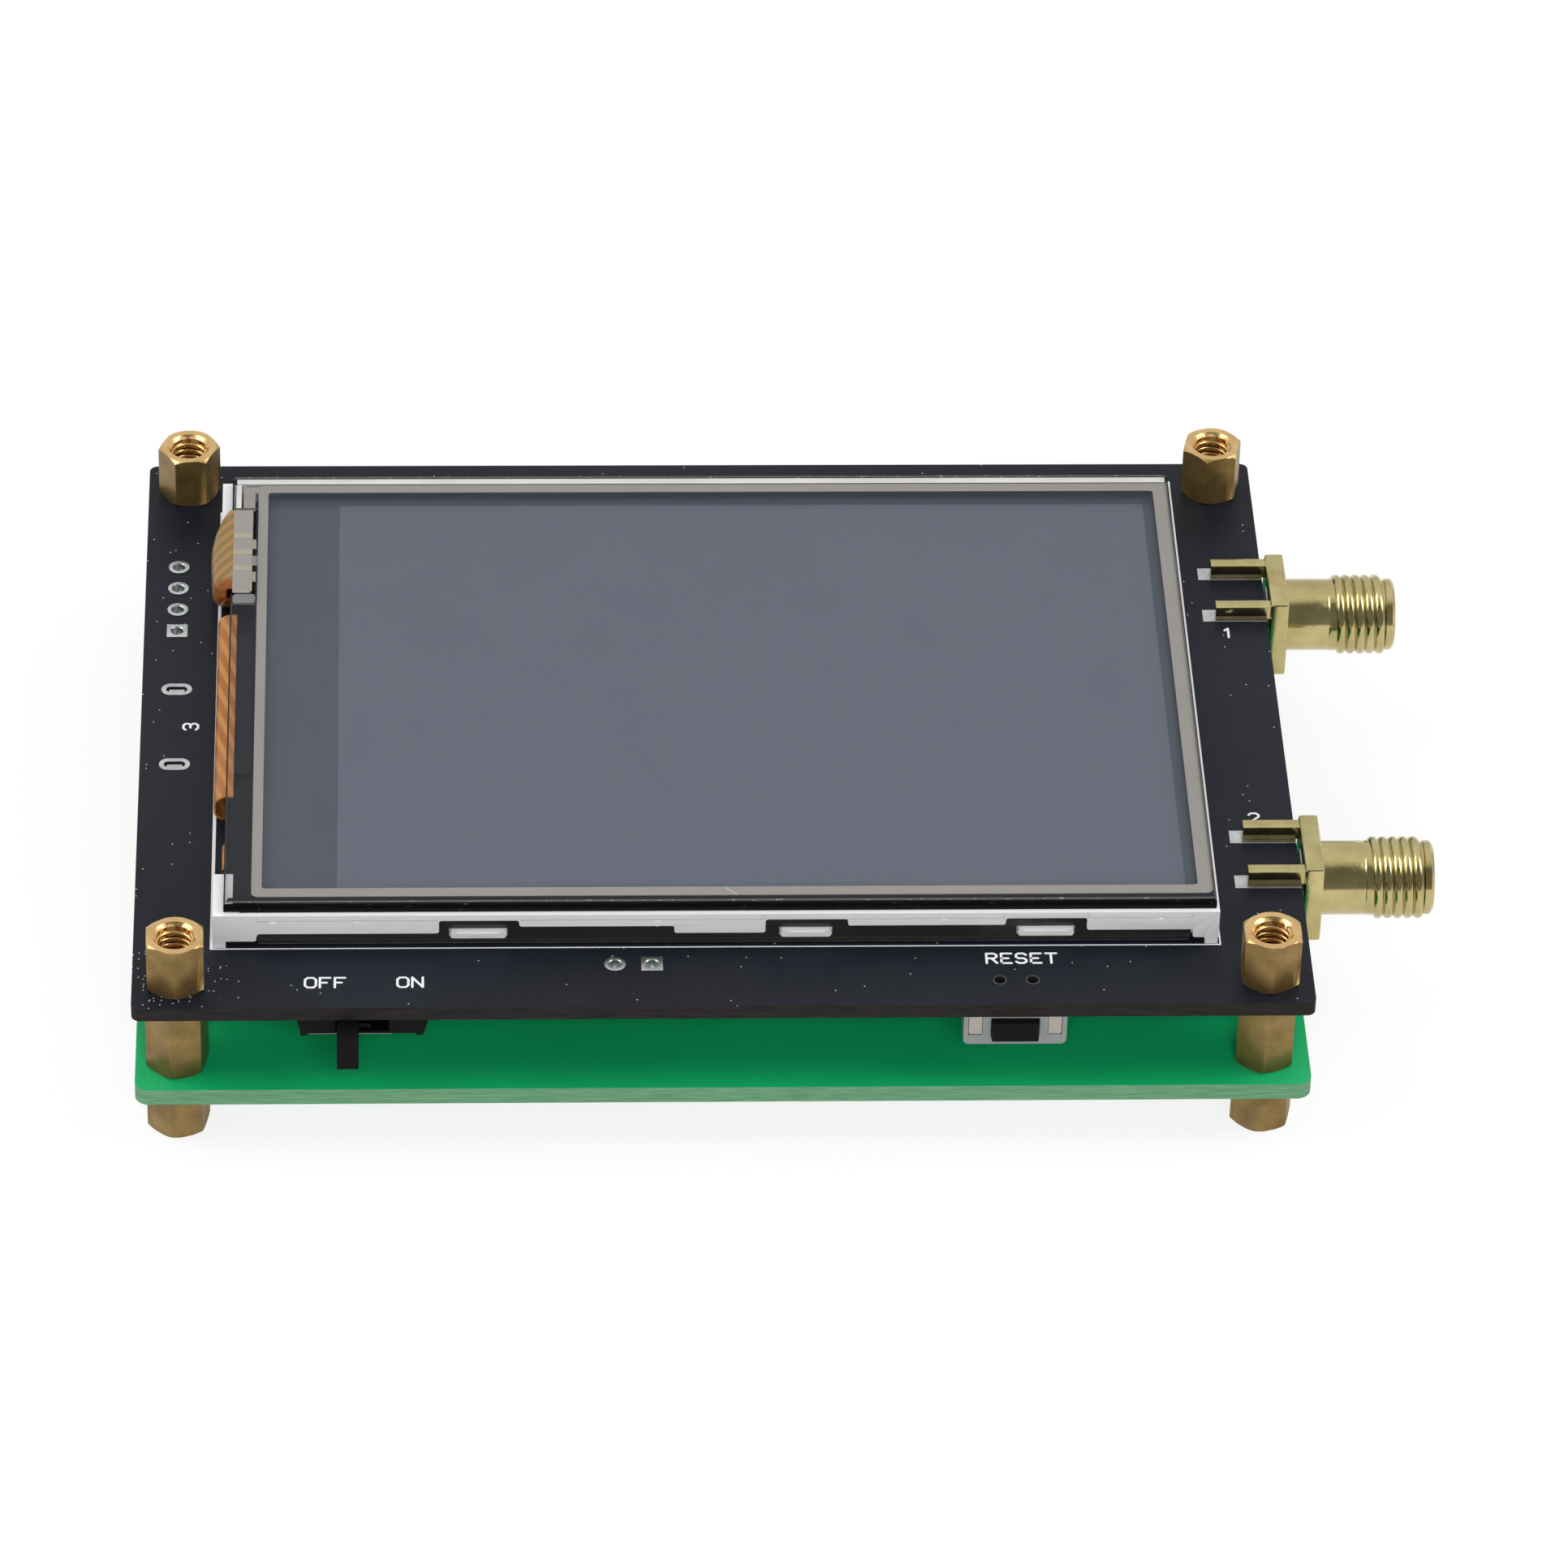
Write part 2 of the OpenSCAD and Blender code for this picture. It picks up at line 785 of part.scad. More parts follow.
module touch_flex() {
    tail_y0 = frame_y0 + tail_shares[0] * display_d;
    tail_w = (tail_shares[1] - tail_shares[0]) * display_d;
    bend = touch_x0 - frame_x0 + tail_out;
    color("#b98a4e")
        intersection() {
            flex_strip(touch_x0 - fit, film_z + flex_t, bend, tail_under + bend, tail_bond,
                       tail_y0, tail_y0 + tail_w, frame_h / 5);
            translate([touch_x0 - fit, tail_y0, main_top - over])
                linear_extrude(film_z + flex_t - main_top + 2 * over)
                    union() {
                        polygon([for (s = tail_lens_shares) [-s[0] * bend, s[1] * tail_w]]);
                        square([tail_under + bend, tail_w]);
                    }
        }
}

// Coaxial jacks
module jack_body(y) {
    body_r = barrel_d / 2;
    thread_r = thread_d / 2;
    tip_r = tip_d / 2;
    thread_x = flange_t + barrel_l;
    tip_x = thread_x + thread_l;
    translate([jack_x, y, jack_z])
        difference() {
            union() {
                translate([0, -flange_w / 2, -flange_w / 2])
                    cube([flange_t, flange_w, flange_w]);
                rotate([0, 90, 0])
                    rotate_extrude()
                        polygon([
                            [0, 0], [body_r, 0], [body_r, thread_x], [thread_r, thread_x + jack_bevel],
                            [thread_r, tip_x - jack_bevel], [tip_r, tip_x], [tip_r, jack_l - jack_bevel],
                            [tip_r - jack_bevel, jack_l], [0, jack_l]
                        ]);
                for (sy = [-1, 1], sz = [-1, 1])
                    translate([-leg_l, sy * leg_pitch / 2 - leg_w / 2,
                               sz > 0 ? leg_low : -leg_low - leg_h])
                        cube([leg_l + flange_t / 2, leg_w, leg_h]);
            }
            rotate([0, 90, 0]) {
                translate([0, 0, -over])
                    cylinder(d = insulator_d + 2 * fit, h = jack_l + 2 * over);
                translate([0, 0, jack_l - counterbore_l])
                    cylinder(d = counterbore_d, h = counterbore_l + over);
            }
        }
}

module jack_insulator(y) {
    translate([jack_x, y, jack_z])
        rotate([0, 90, 0])
            difference() {
                cylinder(d = insulator_d, h = jack_l - counterbore_l);
                translate([0, 0, -over])
                    cylinder(d = pin_d + 2 * fit, h = jack_l + over);
            }
}

module jack_pin(y) {
    pin_end = jack_l - counterbore_l;
    translate([jack_x, y, jack_z])
        rotate([0, 90, 0])
            difference() {
                translate([0, 0, -pin_l])
                    cylinder(d = pin_d, h = pin_l + pin_end);
                translate([0, 0, pin_end - socket_l])
                    cylinder(d = socket_d, h = socket_l + over);
                for (a = [0, 90])
                    rotate(a)
                        translate([-pin_d, -socket_slit / 2, pin_end - socket_l / 2])
                            cube([2 * pin_d, socket_slit, socket_l / 2 + over]);
            }
}

module back_jack_body() {
    color("#cdbf7f")
        jack_body(back_jack_y);
}

module back_jack_insulator() {
    color("#f3f2ee")
        jack_insulator(back_jack_y);
}

module back_jack_pin() {
    color("#d9b45a")
        jack_pin(back_jack_y);
}

module front_jack_body() {
    color("#cdbf7f")
        jack_body(-front_jack_y);
}

module front_jack_insulator() {
    color("#f3f2ee")
        jack_insulator(-front_jack_y);
}

module front_jack_pin() {
    color("#d9b45a")
        jack_pin(-front_jack_y);
}

// USB port, open to -X
module usb_tube(l, inset, r) {
    rotate([90, 0, 90])
        linear_extrude(l)
            round_rect(usb_w - 2 * inset, usb_h - 2 * inset, r);
}

module usb_shell() {
    color("#c9cbce") {
        translate([left_x, usb_y, usb_mid_z])
            difference() {
                usb_tube(usb_l, 0, usb_r);
                translate([-over, 0, 0])
                    usb_tube(usb_l + 2 * over, usb_wall, usb_r - usb_wall);
            }
        at_usb_tabs()
            translate([-usb_tab_l / 2, -usb_tab_t / 2, usb_mid_z])
                cube([usb_tab_l, usb_tab_t, main_top - 2 * pad_t - usb_mid_z]);
    }
}

module at_contacts() {
    for (i = [0 : contact_count - 1])
        translate([0, usb_y + (i - (contact_count - 1) / 2) * contact_pitch, 0])
            children();
}

module usb_tongue() {
    block_x = left_x + usb_l - usb_block_l;
    color("#1a1a1c")
        difference() {
            union() {
                translate([block_x, usb_y, usb_mid_z])
                    usb_tube(usb_block_l, usb_wall + fit, usb_r - usb_wall - fit);
                span([left_x + usb_tongue_in, usb_y - usb_tongue_w / 2, usb_mid_z - usb_tongue_t / 2],
                     [block_x, usb_y + usb_tongue_w / 2, usb_mid_z + usb_tongue_t / 2]);
            }
            at_contacts()
                span([block_x - over, -contact_w / 2 - fit, usb_mid_z + usb_tongue_t / 2],
                     [block_x + usb_block_l + over, contact_w / 2 + fit,
                      usb_mid_z + usb_tongue_t / 2 + contact_t + fit]);
        }
}

module usb_contacts() {
    strip_z = usb_mid_z + usb_tongue_t / 2;
    end_x = left_x + usb_l;
    color("#d8b25a")
        at_contacts() {
            span([left_x + 2 * usb_tongue_in, -contact_w / 2, strip_z],
                 [end_x + 2 * contact_t, contact_w / 2, strip_z + contact_t]);
            span([end_x + contact_t, -contact_w / 2, strip_z],
                 [end_x + 2 * contact_t, contact_w / 2, main_z]);
            span([end_x + contact_t, -contact_w / 2, main_z - contact_t],
                 [end_x + contact_t + contact_tail, contact_w / 2, main_z]);
        }
}

// Slide switch, its lever at the left end of its travel
module slide_profile(w, taper, h) {
    polygon([[-w / 2, 0], [-w / 2 + taper, -h], [w / 2 - taper, -h], [w / 2, 0]]);
}

module slide_cover() {
    slot_w2 = slide_travel / 2 + lever_w / 2 + run;
    color("#3b3c3e")
        translate([slide_x, slide_y, main_z])
            difference() {
                translate([0, slide_d, 0])
                    rotate([90, 0, 0])
                        linear_extrude(slide_d)
                            slide_profile(slide_w, slide_taper, slide_h);
                translate([0, slide_d - slide_wall, over])
                    rotate([90, 0, 0])
                        linear_extrude(slide_d - 2 * slide_wall)
                            slide_profile(slide_w - 2 * slide_wall - slide_taper, slide_taper / 2,
                                          slide_h - slide_wall + over);
                span([-slot_w2, -over, -slide_h + slide_wall], [slot_w2, slide_wall + over, over]);
                span([-slide_w / 2 + slide_taper + slide_wall, slide_d - slide_wall - over, -slide_relief],
                     [slide_w / 2 - slide_taper - slide_wall, slide_d + over, over]);
            }
}

module slide_base() {
    base_w = slide_w - 4 * slide_wall - 2 * slide_taper;
    color("#202124")
        translate([slide_x, slide_y, main_z])
            span([-base_w / 2, slide_wall + fit, -slide_base_t],
                 [base_w / 2, slide_d - slide_wall - fit, 0]);
}

module slide_contacts() {
    color("#c9b06a")
        translate([slide_x, slide_y, main_z])
            for (i = [-1, 0, 1])
                translate([i * slide_travel, 0, 0]) {
                    span([-lever_w / 3, slide_d / 3, -slide_base_t - slide_strip_t],
                         [lever_w / 3, slide_d + fit + slide_strip_t, -slide_base_t]);
                    span([-lever_w / 3, slide_d + fit, -slide_base_t - slide_strip_t],
                         [lever_w / 3, slide_d + fit + slide_strip_t, 0]);
                    span([-lever_w / 3, slide_d + fit, -slide_strip_t],
                         [lever_w / 3, slide_d + slide_wall + 2 * slide_base_t, 0]);
                }
}

module slide_lever() {
    color("#303135")
        translate([slide_x + slide_rest, slide_y, main_z]) {
            span([-carriage_w / 2, slide_wall + run, -carriage_top - carriage_t],
                 [carriage_w / 2, slide_d - slide_wall - 2 * run, -carriage_top]);
            span([-lever_w / 2, -slide_wall, -carriage_top - carriage_t],
                 [lever_w / 2, slide_wall + 2 * run, -slide_base_t - run]);
            span([-lever_w / 2, -slide_back - slide_reach_l, -lever_top - lever_h],
                 [lever_w / 2, -run, -lever_top]);
        }
}

module slide_wiper() {
    foot_z = slide_base_t + slide_strip_t + run / 3;
    color("#d9c27a")
        translate([slide_x + slide_rest, slide_y, main_z]) {
            span([-carriage_w / 2 + room, slide_d / 3, -carriage_top],
                 [carriage_w / 2 - room, 2 * slide_d / 3, -carriage_top + slide_strip_t]);
            for (s = [-1, 1])
                translate([s * slide_travel / 2, slide_d / 2, -carriage_top])
                    cylinder(d = lever_w / 3, h = carriage_top - foot_z);
        }
}

// Reset switch
module reset_body() {
    color("#9a9ca0")
        translate([reset_x, front_y, main_z]) {
            difference() {
                span([-reset_w / 2, 0, -reset_h], [reset_w / 2, reset_d, 0]);
                span([-plunger_w / 2 - plunger_lip - run, reset_wall, -reset_mid - plunger_h / 2 - run],
                     [plunger_w / 2 + plunger_lip + run, reset_d - reset_wall,
                      -reset_mid + plunger_h / 2 + run]);
                span([-plunger_w / 2 - run, -over, -reset_mid - plunger_h / 2 - run],
                     [plunger_w / 2 + run, reset_wall + over, -reset_mid + plunger_h / 2 + run]);
                for (s = [-1, 1])
                    translate([s * (reset_w / 2 - terminal_in - terminal_w / 2), 0, 0])
                        span([-terminal_w / 2 - fit, -over, -terminal_h - fit],
                             [terminal_w / 2 + fit, terminal_skin + terminal_d + fit, over]);
            }
            for (s = [-1, 1])
                translate([peg_shift + s * peg_gap / 2, peg_y, -peg_root])
                    cylinder(d = peg_d, h = peg_root + peg_l);
        }
}

module reset_terminals() {
    color("#d9cfb4")
        translate([reset_x, front_y, main_z])
            for (s = [-1, 1])
                translate([s * (reset_w / 2 - terminal_in - terminal_w / 2), 0, 0])
                    span([-terminal_w / 2, terminal_skin, -terminal_h],
                         [terminal_w / 2, terminal_skin + terminal_d, 0]);
}

module reset_dome() {
    dome_r = dome_d / 2;
    color("#c4c6c8")
        translate([reset_x, front_y + dome_back, main_z - reset_mid])
            rotate([90, 0, 0])
                rotate_extrude()
                    polygon([
                        [dome_r - dome_t, 0], [dome_r, 0], [dome_r, dome_t], [dome_r / 2, dome_rise],
                        [0, dome_rise], [0, dome_rise - dome_t], [dome_r / 2 - dome_t, dome_rise - dome_t]
                    ]);
}

module reset_plunger() {
    lip_y = reset_wall + run + plunger_lip_t;
    stem_end = dome_back - dome_rise - run / 3;
    color("#2b2c30")
        translate([reset_x, front_y, main_z - reset_mid]) {
            span([-plunger_w / 2, -reset_reach_l, -plunger_h / 2], [plunger_w / 2, lip_y, plunger_h / 2]);
            span([-plunger_w / 2 - plunger_lip, lip_y - plunger_lip_t, -plunger_h / 2],
                 [plunger_w / 2 + plunger_lip, lip_y, plunger_h / 2]);
            translate([0, lip_y, 0])
                rotate([-90, 0, 0])
                    cylinder(d = stem_d, h = stem_end - lip_y);
        }
}

// Electronics under the main board
module hung(shares, size) {
    place = board_place(shares);
    translate([place[0] - size[0] / 2, place[1] - size[1] / 2, main_z - size[2]])
        cube(size);
}

module lead_row(count, pitch, w, reach, body_h) {
    for (i = [0 : count - 1])
        translate([(i - (count - 1) / 2) * pitch - w / 2, 0, 0]) {
            span([0, 0, -body_h / 2], [w, 2 * lead_t, -body_h / 2 + lead_t]);
            span([0, lead_t, -body_h / 2], [w, 2 * lead_t, 0]);
            span([0, lead_t, -lead_t], [w, reach, 0]);
        }
}

module chip_body(shares, size) {
    place = board_place(shares);
    translate([place[0] - size[0] / 2, place[1] - size[1] / 2, main_z - size[2]])
        cube([size[0], size[1], size[2] - chip_lift]);
}

module under_board(shares) {
    place = board_place(shares);
    translate([place[0], place[1], main_z])
        children();
}

module controller_chip() {
    color("#1e1f22")
        chip_body(controller_shares, controller_size);
}

module controller_leads() {
    color("#b9bcc0")
        for (a = [0 : 90 : 270])
            under_board(controller_shares)
                rotate(a)
                    translate([0, controller_size[1] / 2, 0])
                        lead_row(lead_count, lead_pitch, lead_w, lead_l, controller_size[2]);
}

module synthesiser_chip() {
    color("#1e1f22")
        chip_body(synth_shares, synth_size);
}

module synthesiser_leads() {
    color("#b9bcc0")
        for (a = [0, 180])
            under_board(synth_shares)
                rotate(a)
                    translate([0, synth_size[1] / 2, 0])
                        lead_row(synth_leads, synth_pitch, synth_lead_w, lead_l, synth_size[2]);
}

module clock_base() {
    color("#8f8268")
        hung(clock_shares, clock_size);
}

module clock_lid() {
    color("#c9cbce")
        translate([0, 0, -clock_size[2]])
            hung(clock_shares, clock_lid_size);
}

module crystal_can() {
    color("#c9cbce")
        hung(crystal_shares, crystal_size);
}

module regulator_bodies() {
    color("#1e1f22")
        for (p = regulator_shares)
            chip_body(p, regulator_size);
}

module regulator_leads() {
    color("#b9bcc0")
        for (p = regulator_shares)
            under_board(p) {
                rotate(90)
                    translate([0, regulator_size[0] / 2, 0])
                        lead_row(3, regulator_pitch, regulator_lead_w, regulator_lead_l, regulator_size[2]);
                rotate(-90)
                    translate([0, regulator_size[0] / 2, 0])
                        lead_row(1, regulator_pitch, regulator_tab_w, regulator_lead_l, regulator_size[2]);
            }
}

module power_inductors() {
    color("#4a4b4f")
        for (p = inductor_shares)
            hung(p, inductor_size);
}

module capacitors() {
    color("#b59a6a")
        for (p = capacitor_shares)
            hung(p, capacitor_size);
}

module resistors() {
    color("#26272b")
        for (p = resistor_shares)
            hung(p, resistor_size);
}

main_board();
base_board();
upper_standoffs();
middle_standoffs();
lower_standoffs();
header_pads();
usb_pads();
jack_pads();
display_frame();
display_shell();
display_tape();
backlight_reflector();
backlight_guide();
backlight_films();
backlight_leds();
backlight_flex();
display_rear_glass();
display_front_glass();
display_polariser();
display_driver();
display_flex();
touch_tape();
touch_glass();
touch_film();
touch_flex();
back_jack_body();
back_jack_insulator();
back_jack_pin();
front_jack_body();
front_jack_insulator();
front_jack_pin();
usb_shell();
usb_tongue();
usb_contacts();
slide_cover();
slide_base();
slide_contacts();
slide_lever();
slide_wiper();
reset_body();
reset_terminals();
reset_dome();
reset_plunger();
controller_chip();
controller_leads();
synthesiser_chip();
synthesiser_leads();
clock_base();
clock_lid();
crystal_can();
regulator_bodies();
regulator_leads();
power_inductors();
capacitors();
resistors();
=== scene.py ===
import bpy
from math import atan2, copysign, cos, hypot, pi, radians, sin, sqrt, tan
from mathutils import Matrix, Vector


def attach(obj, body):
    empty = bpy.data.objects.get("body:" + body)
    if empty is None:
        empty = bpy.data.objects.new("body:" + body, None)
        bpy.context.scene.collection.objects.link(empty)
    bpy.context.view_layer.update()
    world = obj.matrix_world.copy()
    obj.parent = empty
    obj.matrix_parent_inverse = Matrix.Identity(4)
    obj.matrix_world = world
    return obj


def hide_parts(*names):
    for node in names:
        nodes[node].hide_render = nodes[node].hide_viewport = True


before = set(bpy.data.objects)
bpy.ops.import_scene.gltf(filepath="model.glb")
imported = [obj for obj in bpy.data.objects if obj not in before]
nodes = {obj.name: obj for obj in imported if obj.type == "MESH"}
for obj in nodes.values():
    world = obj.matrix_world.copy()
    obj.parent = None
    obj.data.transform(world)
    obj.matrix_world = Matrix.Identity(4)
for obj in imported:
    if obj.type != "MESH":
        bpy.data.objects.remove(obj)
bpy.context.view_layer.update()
mm = 0.001                           # all places below are in millimetres until they reach Blender
boardTop = 12.4
print("frame loaded:", len(nodes), "nodes")

# tools

def linear(hexColour):
    parts = [int(hexColour[i:i + 2], 16) / 255 for i in (1, 3, 5)]
    return [c / 12.92 if c <= 0.04045 else ((c + 0.055) / 1.055) ** 2.4 for c in parts] + [1]

def addNode(tree, kind, settings, output=0):     # a setting is a property, or an input's value, colour or link
    node = tree.nodes.new("ShaderNode" + kind)
    for key, value in settings.items():
        if isinstance(key, str) and key not in node.inputs:
            setattr(node, key, value)
        elif isinstance(value, bpy.types.NodeSocket):
            tree.links.new(value, node.inputs[key])
        else:
            node.inputs[key].default_value = linear(value) if isinstance(value, str) else value
    return node.outputs[output]

def blend(tree, value, low, high, first, second, most=1):    # the second colour comes in as the value rises
    amount = addNode(tree, "MapRange", {"Value": value, "From Min": low, "From Max": high, "To Max": most})
    return addNode(tree, "Mix", {"data_type": "RGBA", "Factor": amount, "A": first, "B": second}, "Result")

def newMaterial(name, colour, roughness, metallic=0.0, **more):
    material = bpy.data.materials.new(name)
    material.use_nodes = True
    tree = material.node_tree
    shader = tree.nodes["Principled BSDF"]
    shader.inputs["Base Color"].default_value = linear(colour)
    shader.inputs["Roughness"].default_value = roughness
    shader.inputs["Metallic"].default_value = metallic
    for key, value in more.items():
        shader.inputs[key.replace("_", " ")].default_value = value
    return material, tree, shader

def deselect():
    if bpy.context.mode != "OBJECT":
        bpy.ops.object.mode_set(mode="OBJECT")
    bpy.ops.object.select_all(action="DESELECT")

def pick(*pieces):
    deselect()
    for piece in pieces:
        piece.select_set(True)
    bpy.context.view_layer.objects.active = pieces[0]

def applyModifier(piece, kind, **settings):
    pick(piece)
    modifier = piece.modifiers.new(kind.title(), kind)
    for key, value in settings.items():
        setattr(modifier, key, value)
    bpy.ops.object.modifier_apply(modifier=modifier.name)

def settle(piece):                   # leaves the place in the mesh and the object at the origin
    pick(piece)
    bpy.ops.object.transform_apply(location=True, rotation=True, scale=True)

def outward(piece):
    pick(piece)
    bpy.ops.object.mode_set(mode="EDIT")
    bpy.ops.mesh.select_all(action="SELECT")
    bpy.ops.mesh.remove_doubles(threshold=0.0005 * mm)
    bpy.ops.mesh.normals_make_consistent(inside=False)
    bpy.ops.object.mode_set(mode="OBJECT")

def roundEdges(piece, width, segments=2, angle=35):
    applyModifier(piece, "BEVEL", width=width * mm, segments=segments, limit_method="ANGLE",
                  angle_limit=radians(angle), use_clamp_overlap=True)

def bevelWhere(piece, test, width, segments=2):      # only the edges whose two ends pass the test
    points = piece.data.vertices
    pick(piece)
    bpy.ops.object.mode_set(mode="EDIT")
    bpy.ops.mesh.select_mode(type="EDGE")
    bpy.ops.mesh.select_all(action="DESELECT")
    bpy.ops.object.mode_set(mode="OBJECT")
    for edge in piece.data.edges:
        edge.select = test(*(points[i].co for i in edge.vertices))
    bpy.ops.object.mode_set(mode="EDIT")
    bpy.ops.mesh.bevel(offset=width * mm, segments=segments, affect="EDGES")
    bpy.ops.object.mode_set(mode="OBJECT")

def upright(start, end):
    return abs(start.z - end.z) > 0.99 * (start - end).length

def smooth(piece, angle=30):
    pick(piece)
    bpy.ops.object.shade_smooth_by_angle(angle=radians(angle))

def done(piece, name, body, material=None, stands=()):
    piece.name = name
    piece.data.name = name
    if material:
        piece.data.materials.clear()
        piece.data.materials.append(material)
    if stands:
        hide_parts(*stands)
    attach(piece, body)
    return piece

def join(pieces):
    pick(*pieces)
    bpy.ops.object.join()
    return bpy.context.view_layer.objects.active

def copyOf(piece):
    other = piece.copy()
    other.data = piece.data.copy()
    bpy.context.scene.collection.objects.link(other)
    return other

def cut(piece, cutter, operation="DIFFERENCE"):
    applyModifier(piece, "BOOLEAN", operation=operation, object=cutter, solver="EXACT")
    bpy.data.objects.remove(cutter, do_unlink=True)

def block(size, centre):             # a cube at its size and place
    bpy.ops.mesh.primitive_cube_add(size=1, location=[c * mm for c in centre])
    piece = bpy.context.active_object
    piece.scale = [s * mm for s in size]
    settle(piece)
    return piece

def slab(xs, ys, zs):                # a block between two places on each axis
    return block([b - a for a, b in (xs, ys, zs)], [(a + b) / 2 for a, b in (xs, ys, zs)])

def turned(steps, sides=64):         # a disc extruded and scaled along Z, step by step: (height, radius)
    deselect()
    height, radius = steps[0]
    bpy.ops.mesh.primitive_circle_add(vertices=sides, radius=radius * mm, fill_type="NGON",
                                      location=(0, 0, height * mm))
    piece = bpy.context.active_object
    bpy.ops.object.mode_set(mode="EDIT")
    bpy.ops.mesh.select_mode(type="FACE")
    bpy.ops.mesh.select_all(action="SELECT")
    for nextHeight, nextRadius in steps[1:]:
        bpy.ops.mesh.extrude_region_move(
            TRANSFORM_OT_translate={"value": (0, 0, (nextHeight - height) * mm)})
        k = nextRadius / radius
        if abs(k - 1) > 1e-9:
            bpy.ops.transform.resize(value=(k, k, 1))
        height, radius = nextHeight, nextRadius
    bpy.ops.object.mode_set(mode="OBJECT")
    outward(piece)
    settle(piece)
    return piece

def threadRidge(profile, pitch, turns, steps=48):    # a closed outline of radius and height, wound up
    deselect()
    bpy.ops.mesh.primitive_circle_add(vertices=len(profile))
    piece = bpy.context.active_object
    for vertex, (radius, height) in zip(piece.data.vertices, profile):
        vertex.co = (radius * mm, 0, height * mm)
    applyModifier(piece, "SCREW", axis="Z", angle=2 * pi, screw_offset=pitch * mm, iterations=turns,
                  steps=steps, render_steps=steps, use_merge_vertices=False)
    bpy.ops.object.mode_set(mode="EDIT")
    bpy.ops.mesh.select_all(action="SELECT")
    bpy.ops.mesh.fill_holes(sides=len(profile))
    bpy.ops.object.mode_set(mode="OBJECT")
    outward(piece)
    return piece

def copyOfNode(node, name, material, body="main", edge=0.0, smoothAt=20, first=None):
    # the solid's own shape, merged, with its edges rounded, and some of them first by another width
    piece = copyOf(nodes[node])
    piece.parent = None
    piece.matrix_world = Matrix.Identity(4)
    pick(piece)
    bpy.ops.object.mode_set(mode="EDIT")
    bpy.ops.mesh.select_all(action="SELECT")
    bpy.ops.mesh.remove_doubles(threshold=0.0005 * mm)
    bpy.ops.mesh.dissolve_limited(angle_limit=radians(0.4))
    bpy.ops.object.mode_set(mode="OBJECT")
    if first:
        bevelWhere(piece, *first)
    if edge:
        roundEdges(piece, edge)
    smooth(piece, smoothAt)
    return done(piece, name, body, material, [node])

def paint(node, material):
    nodes[node].data.materials.clear()
    nodes[node].data.materials.append(material)

# camera, floor and light

view = {"framePixels": 1932, "focalPixels": 10798.8, "elevation": 38.212, "azimuth": -3.066, "roll": 1.671,
        "distance": 622.53, "across": 5.104, "up": -4.197, "sensor": 36}

elevation, azimuth, roll = (radians(view[key]) for key in ("elevation", "azimuth", "roll"))
backward = Vector((sin(azimuth) * cos(elevation), -cos(azimuth) * cos(elevation), sin(elevation)))
level = Vector((cos(azimuth), sin(azimuth), 0))
upward = backward.cross(level)
camX = cos(roll) * level + sin(roll) * upward
camY = -sin(roll) * level + cos(roll) * upward
eye = backward * view["distance"] + camX * view["across"] + camY * view["up"] + Vector((0, 0, boardTop))
camData = bpy.data.cameras.new("photoCamera")
camData.sensor_width = view["sensor"]
camData.lens = view["focalPixels"] / view["framePixels"] * view["sensor"]
camData.clip_start = 0.01
camData.clip_end = 20
camera = bpy.data.objects.new("photoCamera", camData)
bpy.context.scene.collection.objects.link(camera)
camera.matrix_world = Matrix.Translation(eye * mm) @ Matrix((camX, camY, backward)).transposed().to_4x4()
bpy.context.scene.camera = camera
bpy.context.scene.view_settings.view_transform = "Standard"

backdrop = {"size": 6, "paper": "#f4f4f2", "roughness": 0.9, "whiteShare": 0.82}    # the size in metres
deselect()
bpy.ops.mesh.primitive_plane_add(size=backdrop["size"], location=(0, 0, 0))
floor = bpy.context.active_object
floor.name = "floor"
# matt paper, seen mostly as plain white by the camera and in gloss, and for the rest with the shadow on it
floorPaper, tree, shader = newMaterial("white paper backdrop", backdrop["paper"], backdrop["roughness"])
path = addNode(tree, "LightPath", {}).node
seen = addNode(tree, "Math", {"operation": "MAXIMUM", 0: path.outputs["Is Camera Ray"],
                              1: path.outputs["Is Glossy Ray"]})
seen = addNode(tree, "Math", {"operation": "MAXIMUM", 0: seen, 1: path.outputs["Is Transmission Ray"]})
share = addNode(tree, "Math", {"operation": "MULTIPLY", 0: seen, 1: backdrop["whiteShare"]})
white = addNode(tree, "Emission", {"Color": (1, 1, 1, 1), "Strength": 1})
mix = addNode(tree, "MixShader", {0: share, 1: shader.outputs[0], 2: white})
tree.links.new(mix, tree.nodes["Material Output"].inputs["Surface"])
floor.data.materials.append(floorPaper)

# how bright the room is from the horizon, 0, to overhead, 1: dim on the camera's side, a white sweep behind
studio = {"cameraSide": ((0, 0.26), (0.9, 0.2), (1, 0.8)), "sweepSide": ((0, 0.75), (0.6, 0.85), (1, 1.0))}
world = bpy.data.worlds.new("studio")
bpy.context.scene.world = world
world.use_nodes = True
tree = world.node_tree
parts = addNode(tree, "SeparateXYZ", {0: addNode(tree, "TexCoord", {}, "Generated")}).node
sides = []
for stops in studio.values():
    ramp = addNode(tree, "ValToRGB", {0: parts.outputs["Z"]}).node
    ramp.color_ramp.elements.new(1)
    for element, (height, brightness) in zip(ramp.color_ramp.elements, stops):
        element.position = height
        element.color = [brightness] * 3 + [1]
    sides.append(ramp.outputs[0])
room = blend(tree, parts.outputs["Y"], -0.3, 0.05, *sides)
tree.links.new(room, tree.nodes["Background"].inputs["Color"])

